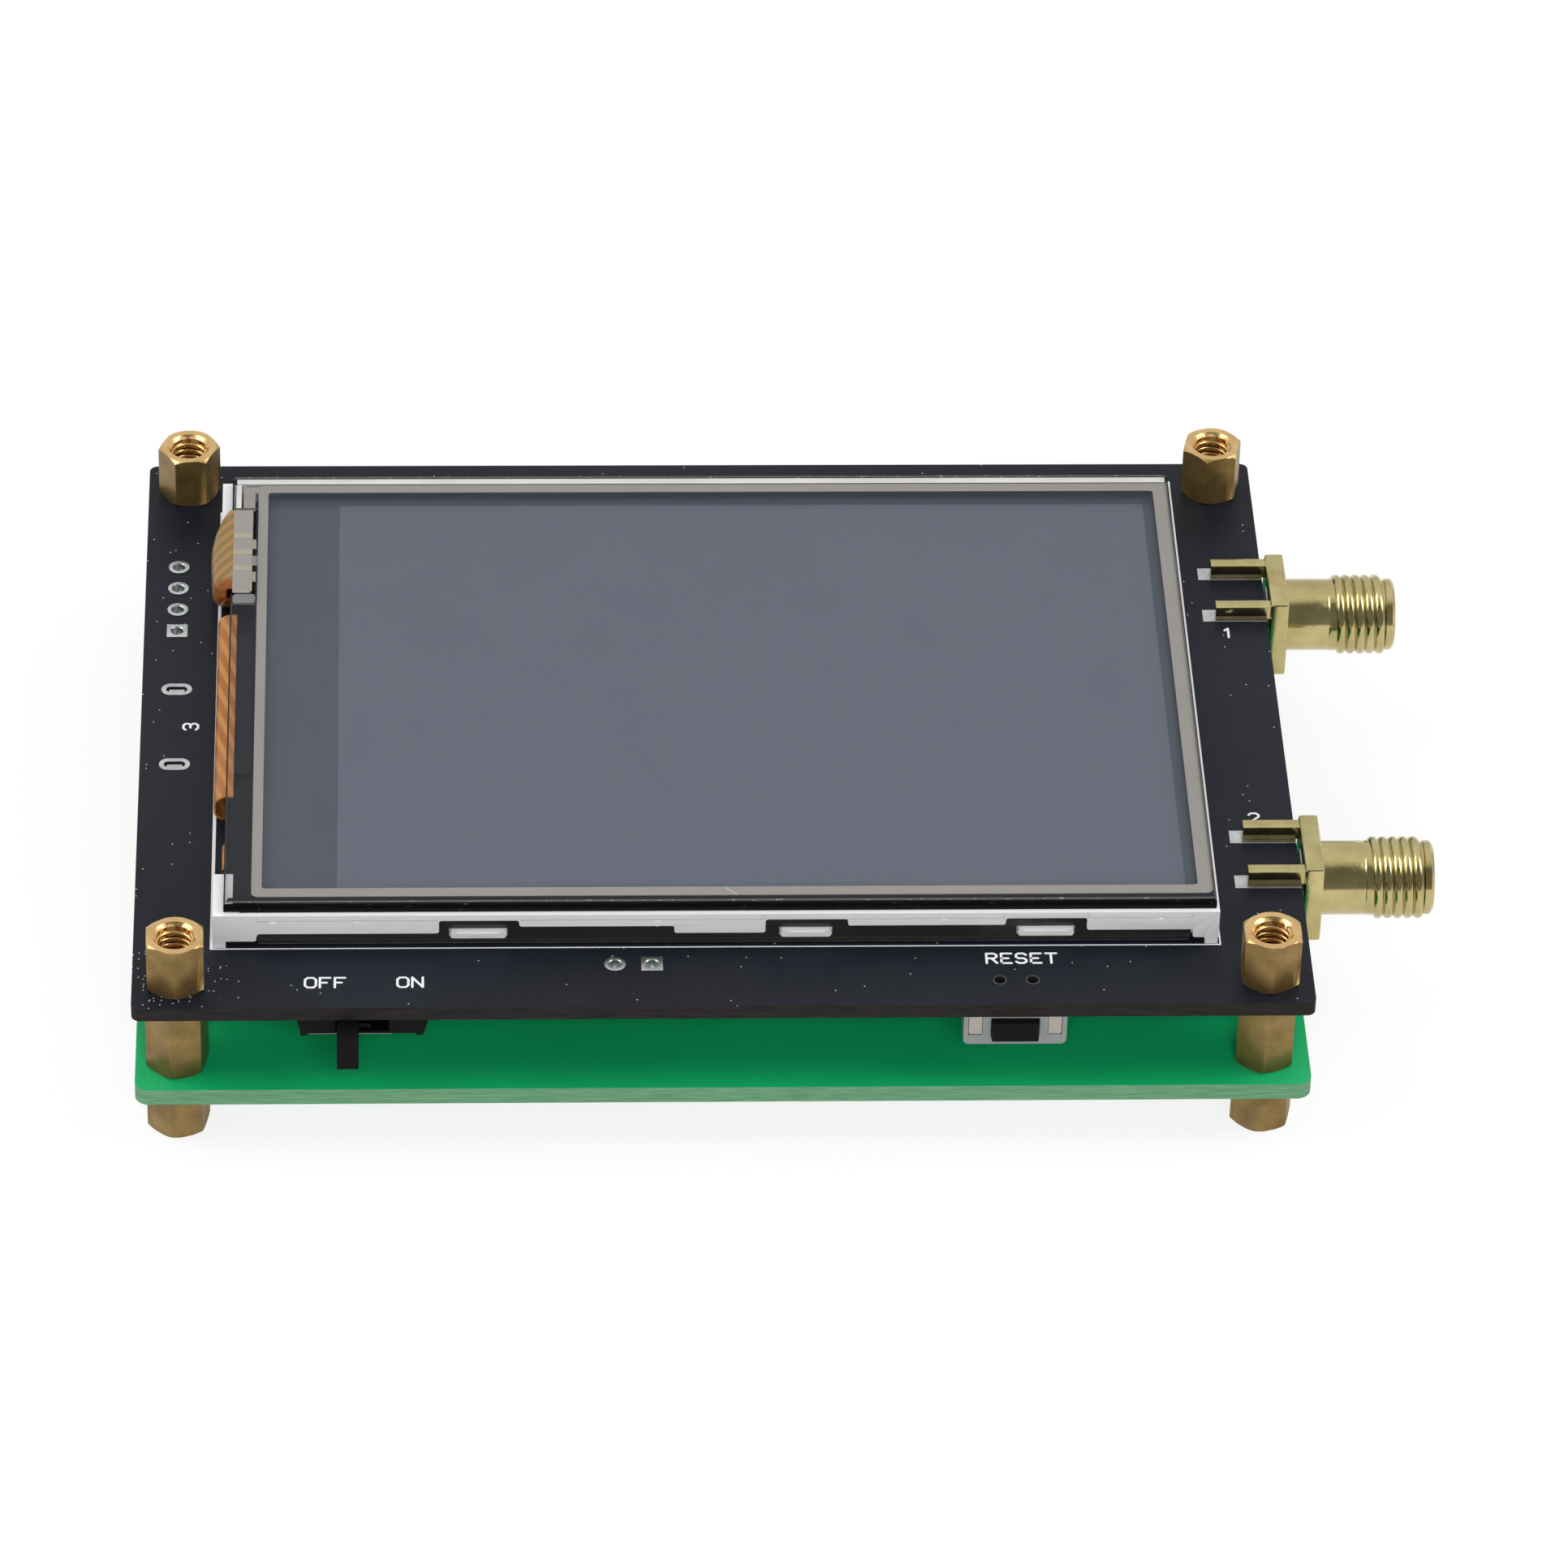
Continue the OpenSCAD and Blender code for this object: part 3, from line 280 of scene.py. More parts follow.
lamps = {                            # place, aim and size in millimetres, then watts
    "softboxLeft": ((-480, -40, 500), (0, 0, 10), 420, 1.8),
    "softboxRight": ((460, -60, 430), (0, 0, 10), 320, 1.4),
    "softboxFront": ((20, -520, 310), (0, -10, 8), 240, 2.3),
}
for name, (spot, aim, size, watts) in lamps.items():
    data = bpy.data.lights.new(name, "AREA")
    data.shape = "SQUARE"
    data.size = size * mm
    data.energy = watts
    lamp = bpy.data.objects.new(name, data)
    lamp.visible_glossy = name != "softboxFront"     # this one only lights the gap between the boards
    bpy.context.scene.collection.objects.link(lamp)
    lamp.location = Vector(spot) * mm
    lamp.rotation_euler = (Vector(spot) - Vector(aim)).to_track_quat("Z", "Y").to_euler()
print("camera, floor and light made")

# finishes

oneBand = 0.628                      # the scale of a wave texture with one band to each unit

def perMillimetre(*steps):           # the scale of a pattern with so many steps in a millimetre on x, y and z
    return [n / mm for n in steps]

def sideAmount(tree):                # 1 on upright faces, 0 on level ones
    normal = addNode(tree, "SeparateXYZ", {0: addNode(tree, "TexCoord", {}, "Normal")}, "Z")
    steep = addNode(tree, "Math", {"operation": "ABSOLUTE", 0: normal})
    return addNode(tree, "MapRange", {"Value": steep, "From Min": 0.45, "From Max": 0.55,
                                      "To Min": 1, "To Max": 0})

dust = {"cells": (2.5, 2.5, 0), "speck": (0.07, 0.14), "colour": "#cfd0ce",      # so many cells in a millimetre
        "left": (-40, -31), "corner": (-38, -28, boardTop), "reach": (2.2, 5)}

def laminate(name, mask, maskLight, edge, edgeDark, hatch, roughness, shine, limits):
    # glass fibre board under screen-printed epoxy mask: satin skin, faint weave of the copper, raw milled edge
    material, tree, shader = newMaterial(name, mask, roughness, Specular_IOR_Level=shine)
    place = addNode(tree, "TexCoord", {}, "Object")
    side = sideAmount(tree)
    cloud = addNode(tree, "TexNoise", {"Vector": place, "Scale": 60, "Detail": 4, "Roughness": 0.55}, "Fac")
    colour = blend(tree, cloud, 0.35, 0.7, mask, maskLight)

    weave = []
    for axis in ((2.5, 0, 0), (0, 2.5, 0)):      # the copper pour is hatched every 0.4 mm
        across = addNode(tree, "Mapping", {"Vector": place, "Scale": perMillimetre(*axis)})
        wave = {"Vector": across, "wave_type": "BANDS", "bands_direction": "DIAGONAL", "wave_profile": "SIN",
                "Scale": oneBand, "Distortion": 0}
        weave.append(addNode(tree, "TexWave", wave, "Fac"))
    cross = addNode(tree, "Math", {"operation": "MAXIMUM", 0: weave[0], 1: weave[1]})
    colour = blend(tree, cross, 0.55, 1, colour, maskLight, hatch)

    # one speck in some of the dust cells, in more of them near the left edge and its front corner
    grid = addNode(tree, "Mapping", {"Vector": place, "Scale": perMillimetre(*dust["cells"])})
    cells = addNode(tree, "TexVoronoi", {"voronoi_dimensions": "2D", "Vector": grid, "Scale": 1}).node
    chance = addNode(tree, "SeparateColor", {0: cells.outputs["Color"]})
    across = addNode(tree, "SeparateXYZ", {0: place}, "X")
    limit = addNode(tree, "MapRange", {"Value": across, "From Min": dust["left"][0] * mm,
                                       "From Max": dust["left"][1] * mm,
                                       "To Min": limits["edge"], "To Max": limits["middle"]})
    corner = [c * mm for c in dust["corner"]]
    reach = addNode(tree, "VectorMath", {"operation": "DISTANCE", 0: place, 1: corner}, "Value")
    near = addNode(tree, "MapRange", {"Value": reach, "From Min": dust["reach"][0] * mm,
                                      "From Max": dust["reach"][1] * mm,
                                      "To Min": limits["corner"], "To Max": limits["none"]})
    limit = addNode(tree, "Math", {"operation": "MINIMUM", 0: limit, 1: near})
    chosen = addNode(tree, "Math", {"operation": "GREATER_THAN", 0: chance, 1: limit})
    speck = addNode(tree, "MapRange", {"Value": cells.outputs["Distance"], "From Min": dust["speck"][0],
                                       "From Max": dust["speck"][1], "To Min": 1, "To Max": 0})
    speck = addNode(tree, "Math", {"operation": "MULTIPLY", 0: speck, 1: chosen})
    colour = blend(tree, speck, 0, 1, colour, dust["colour"])

    layers = addNode(tree, "Mapping", {"Vector": place, "Scale": perMillimetre(0.5, 0.5, 9)})
    streak = addNode(tree, "TexNoise", {"Vector": layers, "Scale": 1, "Detail": 4, "Roughness": 0.55}, "Fac")
    colour = blend(tree, side, 0, 1, colour, blend(tree, streak, 0.35, 0.65, edge, edgeDark))
    tree.links.new(colour, shader.inputs["Base Color"])

    fine = addNode(tree, "TexNoise", {"Vector": place, "Scale": 900, "Detail": 3, "Roughness": 0.55}, "Fac")
    satin = addNode(tree, "MapRange", {"Value": fine, "From Min": 0.3, "From Max": 0.7,
                                       "To Min": roughness - 0.05, "To Max": roughness + 0.08})
    matt = addNode(tree, "MapRange", {"Value": side, "To Max": 0.75})
    satin = addNode(tree, "Math", {"operation": "MAXIMUM", 0: satin, 1: matt})
    tree.links.new(satin, shader.inputs["Roughness"])
    dents = addNode(tree, "Bump", {"Height": cross, "Strength": 0.08, "Distance": 0.01 * mm})
    tree.links.new(dents, shader.inputs["Normal"])
    return material

# near-black satin with a faint check and stray dust
maskBlack = laminate("black epoxy solder mask on glass fibre", "#15171d", "#1b1e26", "#262321", "#1a1817",
                     0.55, 0.38, 0.13, {"edge": 0.975, "middle": 0.99, "corner": 0.5, "none": 1.1})
# bright green satin, clean, with a paler fibrous edge
maskGreen = laminate("green epoxy solder mask on glass fibre", "#10a05e", "#12a865", "#628e6c", "#4c7a58",
                     0.12, 0.34, 0.35, {"edge": 1.1, "middle": 1.1, "corner": 1.1, "none": 1.1})

def metal(name, colour, dark, roughness, blotch, drawn=(6, 6, 0.6), drawnDepth=0.012, side=None):
    # plated or turned metal: cloudy tarnish and fine tool lines; where given, duller on its upright sides and
    # darker there too, the darker tone a painted shade
    material, tree, shader = newMaterial(name, colour, roughness, 1.0)
    place = addNode(tree, "TexCoord", {}, "Object")
    cloud = addNode(tree, "TexNoise", {"Vector": place, "Scale": blotch, "Detail": 5, "Roughness": 0.6}, "Fac")
    tint = blend(tree, cloud, 0.3, 0.8, colour, dark)
    toolPath = addNode(tree, "Mapping", {"Vector": place, "Scale": perMillimetre(*drawn)})
    lines = addNode(tree, "TexNoise", {"Vector": toolPath, "Scale": 1, "Detail": 3, "Roughness": 0.55}, "Fac")
    satin = addNode(tree, "MapRange", {"Value": lines, "From Min": 0.3, "From Max": 0.7,
                                       "To Min": roughness - 0.06, "To Max": roughness + 0.1})
    if side:
        amount = sideAmount(tree)
        # the upright sides take the given darker tones: painted shade
        tint = blend(tree, amount, 0, 1, tint, blend(tree, cloud, 0.3, 0.75, *side))
        matt = addNode(tree, "MapRange", {"Value": amount, "To Max": 0.36})
        satin = addNode(tree, "Math", {"operation": "MAXIMUM", 0: satin, 1: matt})
        oxide = addNode(tree, "MapRange", {"Value": amount, "To Min": 1, "To Max": 0.78})
        tree.links.new(oxide, shader.inputs["Metallic"])
    tree.links.new(tint, shader.inputs["Base Color"])
    tree.links.new(satin, shader.inputs["Roughness"])
    marks = addNode(tree, "Bump", {"Height": lines, "Strength": 0.02 if side else 0.07,
                                   "Distance": drawnDepth * mm})
    tree.links.new(marks, shader.inputs["Normal"])
    return material

# warm satin, duller on the upright flats and painted darker olive there as shade, and brighter in the bores
drawnBrass = metal("drawn and turned brass", "#dab47a", "#ab8750", 0.26, 500, side=("#93794a", "#6b5630"))
boreBrass = metal("brass, freshly tapped", "#e6c48c", "#c9a064", 0.24, 500)
# pale mirror with soft tool lines
goldPlate = metal("pale gold plate on turned brass", "#c8bc88", "#a4965f", 0.14, 400, (9, 2, 2), 0.006)
# deeper yellow gleam
contactGold = metal("hard gold plate", "#e0b860", "#c09a48", 0.22, 900)
# silver-grey, a little uneven from the solder
tinnedCopper = metal("tinned copper pad", "#d6d7d8", "#a9aaab", 0.34, 1500, (7, 7, 2), 0.01)
# cool gleam with rolling lines one way
stampedSteel = metal("bright stamped steel", "#cfd1d3", "#a4a6a9", 0.25, 500, (12, 1, 1), 0.006)

def moulded(name, colour, roughness, grain=2600, depth=0.004, dust=None, side=None, **more):
    # moulded plastic: fine spark-eroded grain, uneven sheen, dust where given, and where given a painted shade on
    # its upright faces
    material, tree, shader = newMaterial(name, colour, roughness, 0.0, **more)
    place = addNode(tree, "TexCoord", {}, "Object")
    wide = addNode(tree, "TexNoise", {"Vector": place, "Scale": 120, "Detail": 3, "Roughness": 0.55}, "Fac")
    sheen = addNode(tree, "MapRange", {"Value": wide, "From Min": 0.1, "From Max": 0.9,
                                       "To Min": roughness - 0.06, "To Max": roughness + 0.06})
    tree.links.new(sheen, shader.inputs["Roughness"])
    if dust:
        tint = blend(tree, wide, 0.15, 0.85, colour, dust)
        if side:
            # the upright faces take the given tone: painted shade
            tint = blend(tree, sideAmount(tree), 0, 1, tint, side)
        tree.links.new(tint, shader.inputs["Base Color"])
    if depth:
        fine = {"Vector": place, "Scale": grain, "Detail": 2, "Roughness": 0.55}
        fine = addNode(tree, "TexNoise", fine, "Fac")
        pits = addNode(tree, "Bump", {"Height": fine, "Strength": 0.2, "Distance": depth * mm})
        tree.links.new(pits, shader.inputs["Normal"])
    return material

# satin white, painted greyer on the walls as shade
whiteFrame = moulded("white polycarbonate, moulded", "#e2e3e4", 0.42, dust="#d8d9da", side="#c4c5c7")
# deep black that hardly shines
blackMould = moulded("black nylon, moulded", "#080809", 0.42, dust="#0d0d0e", Specular_IOR_Level=0.07)
# the same depth, a touch warmer
coverLacquer = moulded("black lacquered switch cover", "#070707", 0.4, dust="#0d0d0c", Specular_IOR_Level=0.07)
# milky grey that lets some light in
greyBody = moulded("natural grey polyamide, translucent", "#777c7a", 0.35, dust="#6f7473",
                   Subsurface_Weight=0.3, Subsurface_Scale=0.0006)
# chalky and dull
beigeTerminal = moulded("beige ceramic-filled end block", "#99938a", 0.6, dust="#87817a")
# matt charcoal, sandy
packageBlack = moulded("black epoxy chip package", "#1c1d1f", 0.55, 4200, 0.006, dust="#242527")
# dull slate grey
ferriteGrey = moulded("sintered ferrite", "#3b3c40", 0.6, 3800, 0.008, dust="#47484c")
# matt, fired, tan or grey
tanCeramic = moulded("tan barium titanate ceramic", "#a98755", 0.5, dust="#b5945f")
greyCeramic = moulded("grey alumina ceramic", "#6d675d", 0.5, dust="#7b756a")
# soft white
filmWhite = moulded("white diffuser film", "#e9e9e6", 0.35, dust="#dededb")
# pale blue grey, glossy
guideClear = moulded("clear acrylic light guide", "#ccd6dd", 0.15, dust="#c2ccd4")
# creamy yellow
ledYellow = moulded("phosphor-filled silicone lens", "#e8dc9a", 0.4, dust="#dccf88")
# waxy white
insulatorWhite = moulded("white fluoropolymer, turned", "#f0efeb", 0.5, dust="#e6e4df")
# very matt, with open pores
foamTape = moulded("black foam tape", "#1d1c1c", 0.85, 1400, 0.03, dust="#262524")
# dark with a thin clear gleam
shellBlack = moulded("black lacquered steel shell", "#1d1c1c", 0.3, 1800, 0.006, dust="#282726",
                     Coat_Weight=0.2)
# smooth near-black
driverGlass = moulded("polished silicon driver chip", "#111114", 0.25, dust="#161619", Specular_IOR_Level=0.08)

plainNodes = {
    "main_board": maskBlack, "base_board": maskGreen, "display_tape": foamTape,
    "backlight_reflector": filmWhite, "backlight_guide": guideClear, "backlight_films": filmWhite,
    "backlight_leds": ledYellow, "display_driver": driverGlass,
    "back_jack_insulator": insulatorWhite, "front_jack_insulator": insulatorWhite,
    "back_jack_pin": contactGold, "front_jack_pin": contactGold,
    "usb_tongue": blackMould, "usb_contacts": contactGold, "slide_base": blackMould,
    "slide_contacts": contactGold, "slide_wiper": contactGold, "reset_dome": stampedSteel,
    "controller_leads": tinnedCopper, "synthesiser_leads": tinnedCopper, "regulator_leads": tinnedCopper,
    "clock_base": greyCeramic}
for node, material in plainNodes.items():
    paint(node, material)
print("finishes made")

# rounded copies of the plain mouldings

window = {"x": 34, "y": 24, "low": 12.9, "high": 15, "radius": 0.18}

def inWindow(start, end):            # the corners of the steps and windows in the frame's long walls
    return (abs(start.y - end.y) > 0.99 * (start - end).length and abs(start.y) > window["y"] * mm
            and window["low"] * mm < start.z < window["high"] * mm and abs(start.x) < window["x"] * mm)

for node, material, body, edge in (
        ("display_frame", whiteFrame, "main", 0.05), ("display_shell", shellBlack, "main", 0.04),
        ("usb_shell", stampedSteel, "main", 0.05), ("slide_cover", coverLacquer, "main", 0.06),
        ("slide_lever", blackMould, "slide_switch", 0.05), ("reset_terminals", beigeTerminal, "main", 0.02),
        ("reset_body", greyBody, "main", 0.08), ("reset_plunger", blackMould, "reset_button", 0.12),
        ("controller_chip", packageBlack, "main", 0.08), ("synthesiser_chip", packageBlack, "main", 0.06),
        ("clock_lid", stampedSteel, "main", 0.12), ("crystal_can", stampedSteel, "main", 0.12),
        ("regulator_bodies", packageBlack, "main", 0.12), ("power_inductors", ferriteGrey, "main", 0.25),
        ("capacitors", tanCeramic, "main", 0.08), ("resistors", greyCeramic, "main", 0.04)):
    name = node.title().replace("_", "").replace("Shell", "Can")
    corners = (inWindow, window["radius"], 3) if node == "display_frame" else None
    copyOfNode(node, name + "Rounded", material, body, edge, first=corners)

wall = {"face": -24.75, "cut": 0.18, "top": 15.08, "grooveZ": (14.65, 14.76),
        "grooves": [(-32.0, -19.6), (-13.9, 2.8), (8.7, 19.3), (25.1, 32.3)],
        "steps": [-32.0, 2.8, 19.3, 25.1, 32.3], "stepHalf": 0.06,
        "marks": [-30.9, -25.1, -4.5, 15.25, 30.15], "markZ": 14.42,
        "mark": [(-0.2, 0.27), (0.02, 0.27), (0.05, 0.23)],      # heights and radii of an ejector mark
        "bars": [(-18.3, -15.35), (4.4, 7.0), (20.76, 23.72)], "barY": (-24.74, -24.58), "barZ": (13.33, 13.6),
        "barEdge": 0.04}
frameCopy = bpy.data.objects["DisplayFrameRounded"]
grooveY = (wall["face"] - 0.1, wall["face"] + wall["cut"])
for start, end in wall["grooves"]:
    cut(frameCopy, slab((start, end), grooveY, wall["grooveZ"]))
for x in wall["steps"]:
    step = (x - wall["stepHalf"], x + wall["stepHalf"])
    cut(frameCopy, slab(step, grooveY, (wall["grooveZ"][0], wall["top"])))
for x in wall["marks"]:
    mark = turned(wall["mark"], 32)
    mark.rotation_euler = (pi / 2, 0, 0)
    mark.location = (x * mm, wall["face"] * mm, wall["markZ"] * mm)
    settle(mark)
    cut(frameCopy, mark, "UNION")
for xs in wall["bars"]:
    bar = slab(xs, wall["barY"], wall["barZ"])
    roundEdges(bar, wall["barEdge"])
    cut(frameCopy, bar, "UNION")

def lowEdges(start, end):            # the lower edges that run from front to back on the slab being rounded
    return max(start.z, end.z) < (low[2] + 0.1) * mm and abs(start.y - end.y) > mm

resetCorners = {"ResetBodyRounded": 0.42, "ResetTerminalsRounded": 0.2, "ResetPlungerRounded": 0.3}
for name, radius in resetCorners.items():
    piece = bpy.data.objects[name]
    low = [min(corner[axis] for corner in piece.bound_box) / mm for axis in range(3)]
    high = [max(corner[axis] for corner in piece.bound_box) / mm for axis in range(3)]
    shape = slab((low[0], high[0]), (low[1] - 1, high[1] + 1), (low[2], high[2]))
    bevelWhere(shape, lowEdges, radius, 4)
    cut(piece, shape, "INTERSECT")

trim = {"clips": [(-29.0, -28.55), (-21.1, -20.62)], "clipY": (-30.98, -30.6), "clipZ": (9.74, 10.0),
        "edge": 0.01,                # for the bright steel strips along the lower edges, which stand in for their highlight
        "cover": ((-28.4, -22.8), (-31.0, -30.9), (9.885, 9.92)),
        "can": ((-31.9, 32.2), (-24.47, -24.37), (12.5, 12.55))}
for xs in trim["clips"]:
    cut(bpy.data.objects["SlideCoverRounded"], slab(xs, trim["clipY"], trim["clipZ"]), "UNION")
# a bright steel strip along the lower edge of the cover and of the can: painted highlight
for name, key, slot in (("SlideCoverEdgeHighlight", "cover", "cover_grey"), ("CanEdgeHighlight", "can", "shell_black")):
    edgeGleam = slab(*trim[key])
    roundEdges(edgeGleam, trim["edge"], 1)
    done(edgeGleam, name, "main", stampedSteel)

pegs = {"x": (18.91, 21.17), "y": -28.6,
        "rim": [(12.39, 0.49), (12.415, 0.47)], "hole": [(12.0, 0.4), (13.0, 0.4)]}      # heights and radii
rims = []
for x in pegs["x"]:
    rim = turned(pegs["rim"], 32)
    cut(rim, turned(pegs["hole"], 32))
    rim.location = (x * mm, pegs["y"] * mm, 0)
    settle(rim)
    rims.append(rim)
done(join(rims), "PegHoleRims", "main", ferriteGrey)
print("mouldings rounded")

# standoffs

hexagon = {"flats": 3.9, "bevel": 0.27, "bevelAngle": 35, "edge": 0.035, "mouth": 1.5, "valley": 1.27,
           "crest": 1.1, "pitch": 0.5, "seat": 1.31, "seatDepth": 1.9, "stud": 1.25,
           "holeX": 37.5, "holeY": 28.25}
upperStand = {"height": 4, "level": boardTop, "turns": (31, 30, 4, 16), "bore": 3.3, "thread": (0.4, 3.9),
              "stud": 2.9}
middleStand = {"height": 6, "level": 5.3, "turns": (18, 23, 12, 40), "stud": 3.1}
lowerStand = {"height": 4, "level": 0, "turns": (18, 16, 35, 5), "bore": 2.3, "thread": (0.1, 2.2)}
corners = [(-1, -1), (1, -1), (-1, 1), (1, 1)]

def hexBar(height):
    radius = hexagon["flats"] / sqrt(3)
    deselect()
    bpy.ops.mesh.primitive_cylinder_add(vertices=6, radius=radius * mm, depth=height * mm,
                                        location=(0, 0, height / 2 * mm), rotation=(0, 0, radians(-30)))
    bar = bpy.context.active_object
    settle(bar)
    inner, outer = radius - hexagon["bevel"], radius + hexagon["bevel"]
    slope = 2 * hexagon["bevel"] * tan(radians(hexagon["bevelAngle"]))
    cut(bar, turned([(0, inner), (slope, outer), (height - slope, outer), (height, inner)], 96), "INTERSECT")
    return bar

def boreCutter(depth, radius, top):  # opens upward at the height "top"
    bevel = hexagon["mouth"] - radius
    return turned([(top - depth, radius), (top - bevel, radius), (top, hexagon["mouth"]),
                   (top + 0.5, hexagon["mouth"])])

def finishBar(bar):
    roundEdges(bar, hexagon["edge"], 2, 25)
    smooth(bar, 15)

def innerThread(low, high):
    pitch, root, crest = hexagon["pitch"], hexagon["valley"] + 0.02, hexagon["crest"]
    profile = [(root, low + 0.01), (crest, low + 0.44 * pitch), (crest, low + 0.56 * pitch),
               (root, low + pitch - 0.01)]
    return threadRidge(profile, pitch, int((high - low) / pitch) - 1)

def studBelow(length):
    radius = hexagon["stud"]
    return turned([(-length, radius - 0.2), (-length + 0.2, radius), (0.35, radius)], 48)

def standAt(model, stand, name, node):
    pieces = []
    for (sx, sy), turn in zip(corners, stand["turns"]):
        piece = copyOf(model)
        piece.rotation_euler = (0, 0, radians(turn))
        piece.location = (sx * hexagon["holeX"] * mm, sy * hexagon["holeY"] * mm, stand["level"] * mm)
        settle(piece)
        pieces.append(piece)
    bpy.data.objects.remove(model, do_unlink=True)
    piece = done(join(pieces), name, "main", drawnBrass, [node])
    piece.data.materials.append(boreBrass)
    inMouth = (hexagon["mouth"] - 0.01) * mm
    for face in piece.data.polygons:
        x, y, z = face.center
        if hypot(abs(x) - hexagon["holeX"] * mm, abs(y) - hexagon["holeY"] * mm) < inMouth:
            face.material_index = 1

upper = hexBar(upperStand["height"])
cut(upper, boreCutter(upperStand["bore"], hexagon["valley"], upperStand["height"]))
finishBar(upper)
upper = join([upper, innerThread(*upperStand["thread"]), studBelow(upperStand["stud"])])
standAt(upper, upperStand, "UpperStandoffs", "upper_standoffs")

middle = hexBar(middleStand["height"])
cut(middle, boreCutter(hexagon["seatDepth"], hexagon["seat"], middleStand["height"]))
finishBar(middle)
middle = join([middle, studBelow(middleStand["stud"])])
standAt(middle, middleStand, "MiddleStandoffs", "middle_standoffs")

lower = hexBar(lowerStand["height"])
cut(lower, boreCutter(hexagon["seatDepth"], hexagon["seat"], lowerStand["height"]))
mouth, valley = hexagon["mouth"], hexagon["valley"]
cut(lower, turned([(-0.5, mouth), (0, mouth), (mouth - valley, valley), (lowerStand["bore"], valley)]))
finishBar(lower)
lower = join([lower, innerThread(*lowerStand["thread"])])
standAt(lower, lowerStand, "LowerStandoffs", "lower_standoffs")
print("standoffs made")

# coaxial jacks

jack = {"x": 40.7, "z": 10.65, "places": (15.1, -15.4), "flange": 6.3, "flangeT": 1.35, "flangeEdge": 0.16,
        "barrel": 2.6, "barrelL": 3.0, "root": 2.62, "relief": 0.12, "crest": 2.88, "pitch": 0.7056,
        "threadL": 4.15, "tip": 2.6, "tipL": 0.75, "tipBevel": 0.22,
        "bore": 2.08, "counterbore": 2.3, "counterboreL": 1.9,
        "legL": 3.95, "legW": 0.9, "legH": 1.05, "legPitch": 5.0, "legLow": 1.8, "legEdge": 0.05}
threadStart = jack["flangeT"] + jack["barrelL"]
threadEnd = threadStart + jack["threadL"]
tipEnd = threadEnd + jack["tipL"]
root, relief = jack["root"], jack["root"] - jack["relief"]

outer = turned([(0.6, jack["barrel"]), (threadStart, jack["barrel"]), (threadStart + 0.08, root - 0.05),
                (threadStart + 0.2, root), (threadEnd - 0.2, root), (threadEnd - 0.12, relief),
                (threadEnd + 0.02, relief), (threadEnd + 0.1, jack["tip"]),
                (tipEnd - jack["tipBevel"], jack["tip"]), (tipEnd, jack["tip"] - jack["tipBevel"])], 96)
body = block((jack["flange"], jack["flange"], jack["flangeT"]), (0, 0, jack["flangeT"] / 2))
roundEdges(body, jack["flangeEdge"], 3)
cut(body, outer, "UNION")
for sx in (-1, 1):
    for sy in (-1, 1):
        x = sx * (jack["legLow"] + jack["legH"] / 2)
        leg = block((jack["legH"], jack["legW"], jack["legL"] + 0.5),
                    (x, sy * jack["legPitch"] / 2, 0.25 - jack["legL"] / 2))
        roundEdges(leg, jack["legEdge"])
        cut(body, leg, "UNION")
mouth = tipEnd - jack["counterboreL"]
cut(body, turned([(-0.5, jack["bore"]), (mouth + 0.5, jack["bore"])]))
cut(body, turned([(mouth, jack["counterbore"]), (tipEnd - 0.15, jack["counterbore"]),
                  (tipEnd, jack["counterbore"] + 0.1), (tipEnd + 0.5, jack["counterbore"] + 0.1)], 96))
smooth(body, 28)
wave = []                            # one turn of the thread, its crest rounded by the plating
for t in (0.06, 0.15, 0.25, 0.36, 0.5, 0.64, 0.75, 0.85, 0.94):
    rise = (jack["crest"] - root) * sin(pi * t) ** 0.55
    wave.append((root + rise, threadStart + 0.12 + jack["pitch"] * t))
wave = [(root - 0.05, wave[0][1] - 0.03)] + wave + [(root - 0.05, wave[-1][1] + 0.03)]
ridge = threadRidge(wave, jack["pitch"], 5)
smooth(ridge, 60)
body = join([body, ridge])
for name, node, y in zip(("BackJack", "FrontJack"), ("back_jack_body", "front_jack_body"), jack["places"]):
    piece = copyOf(body)
    piece.rotation_euler = (0, pi / 2, 0)
    piece.location = (jack["x"] * mm, y * mm, jack["z"] * mm)
    settle(piece)
    done(piece, name, "main", goldPlate, [node])
bpy.data.objects.remove(body, do_unlink=True)
print("jacks made")

# display and touch panel

def roundUprights(piece, radius, segments=4):
    bevelWhere(piece, upright, radius, segments)

def sideMaterial(piece, material, steep):        # the edges of a sheet take another material than its faces
    piece.data.materials.append(material)
    for face in piece.data.polygons:
        if abs(face.normal.z) < steep:
            face.material_index = 1

def fleckedEdge(name, colour, paleFlecks, roughness, along, amount, **more):
    # glossy edge in a given dark tone with pale flecks along it; on the glass the dark tone is a painted dark
    # reflection, on the film the grey and the flecks are a painted highlight
    material, tree, shader = newMaterial(name, colour, roughness, 0.0, **more)
    place = addNode(tree, "TexCoord", {}, "Object")
    grain = addNode(tree, "Mapping", {"Vector": place, "Scale": perMillimetre(*along)})
    marks = addNode(tree, "TexNoise", {"Vector": grain, "Scale": 1, "Detail": 5, "Roughness": 0.7}, "Fac")
    tree.links.new(blend(tree, marks, amount, amount + 0.05, colour, paleFlecks), shader.inputs["Base Color"])
    nicks = addNode(tree, "Bump", {"Height": marks, "Strength": 0.2, "Distance": 0.02 * mm})
    tree.links.new(nicks, shader.inputs["Normal"])
    return material

# a black line with pale flecks: the black is a painted dark reflection of the dark inside
glassEdge = fleckedEdge("ground edge of soda-lime glass over black print", "#0a0a0a", "#7d7d7b", 0.2,
                      (1.2, 1.2, 9), 0.66, Specular_IOR_Level=0.08)
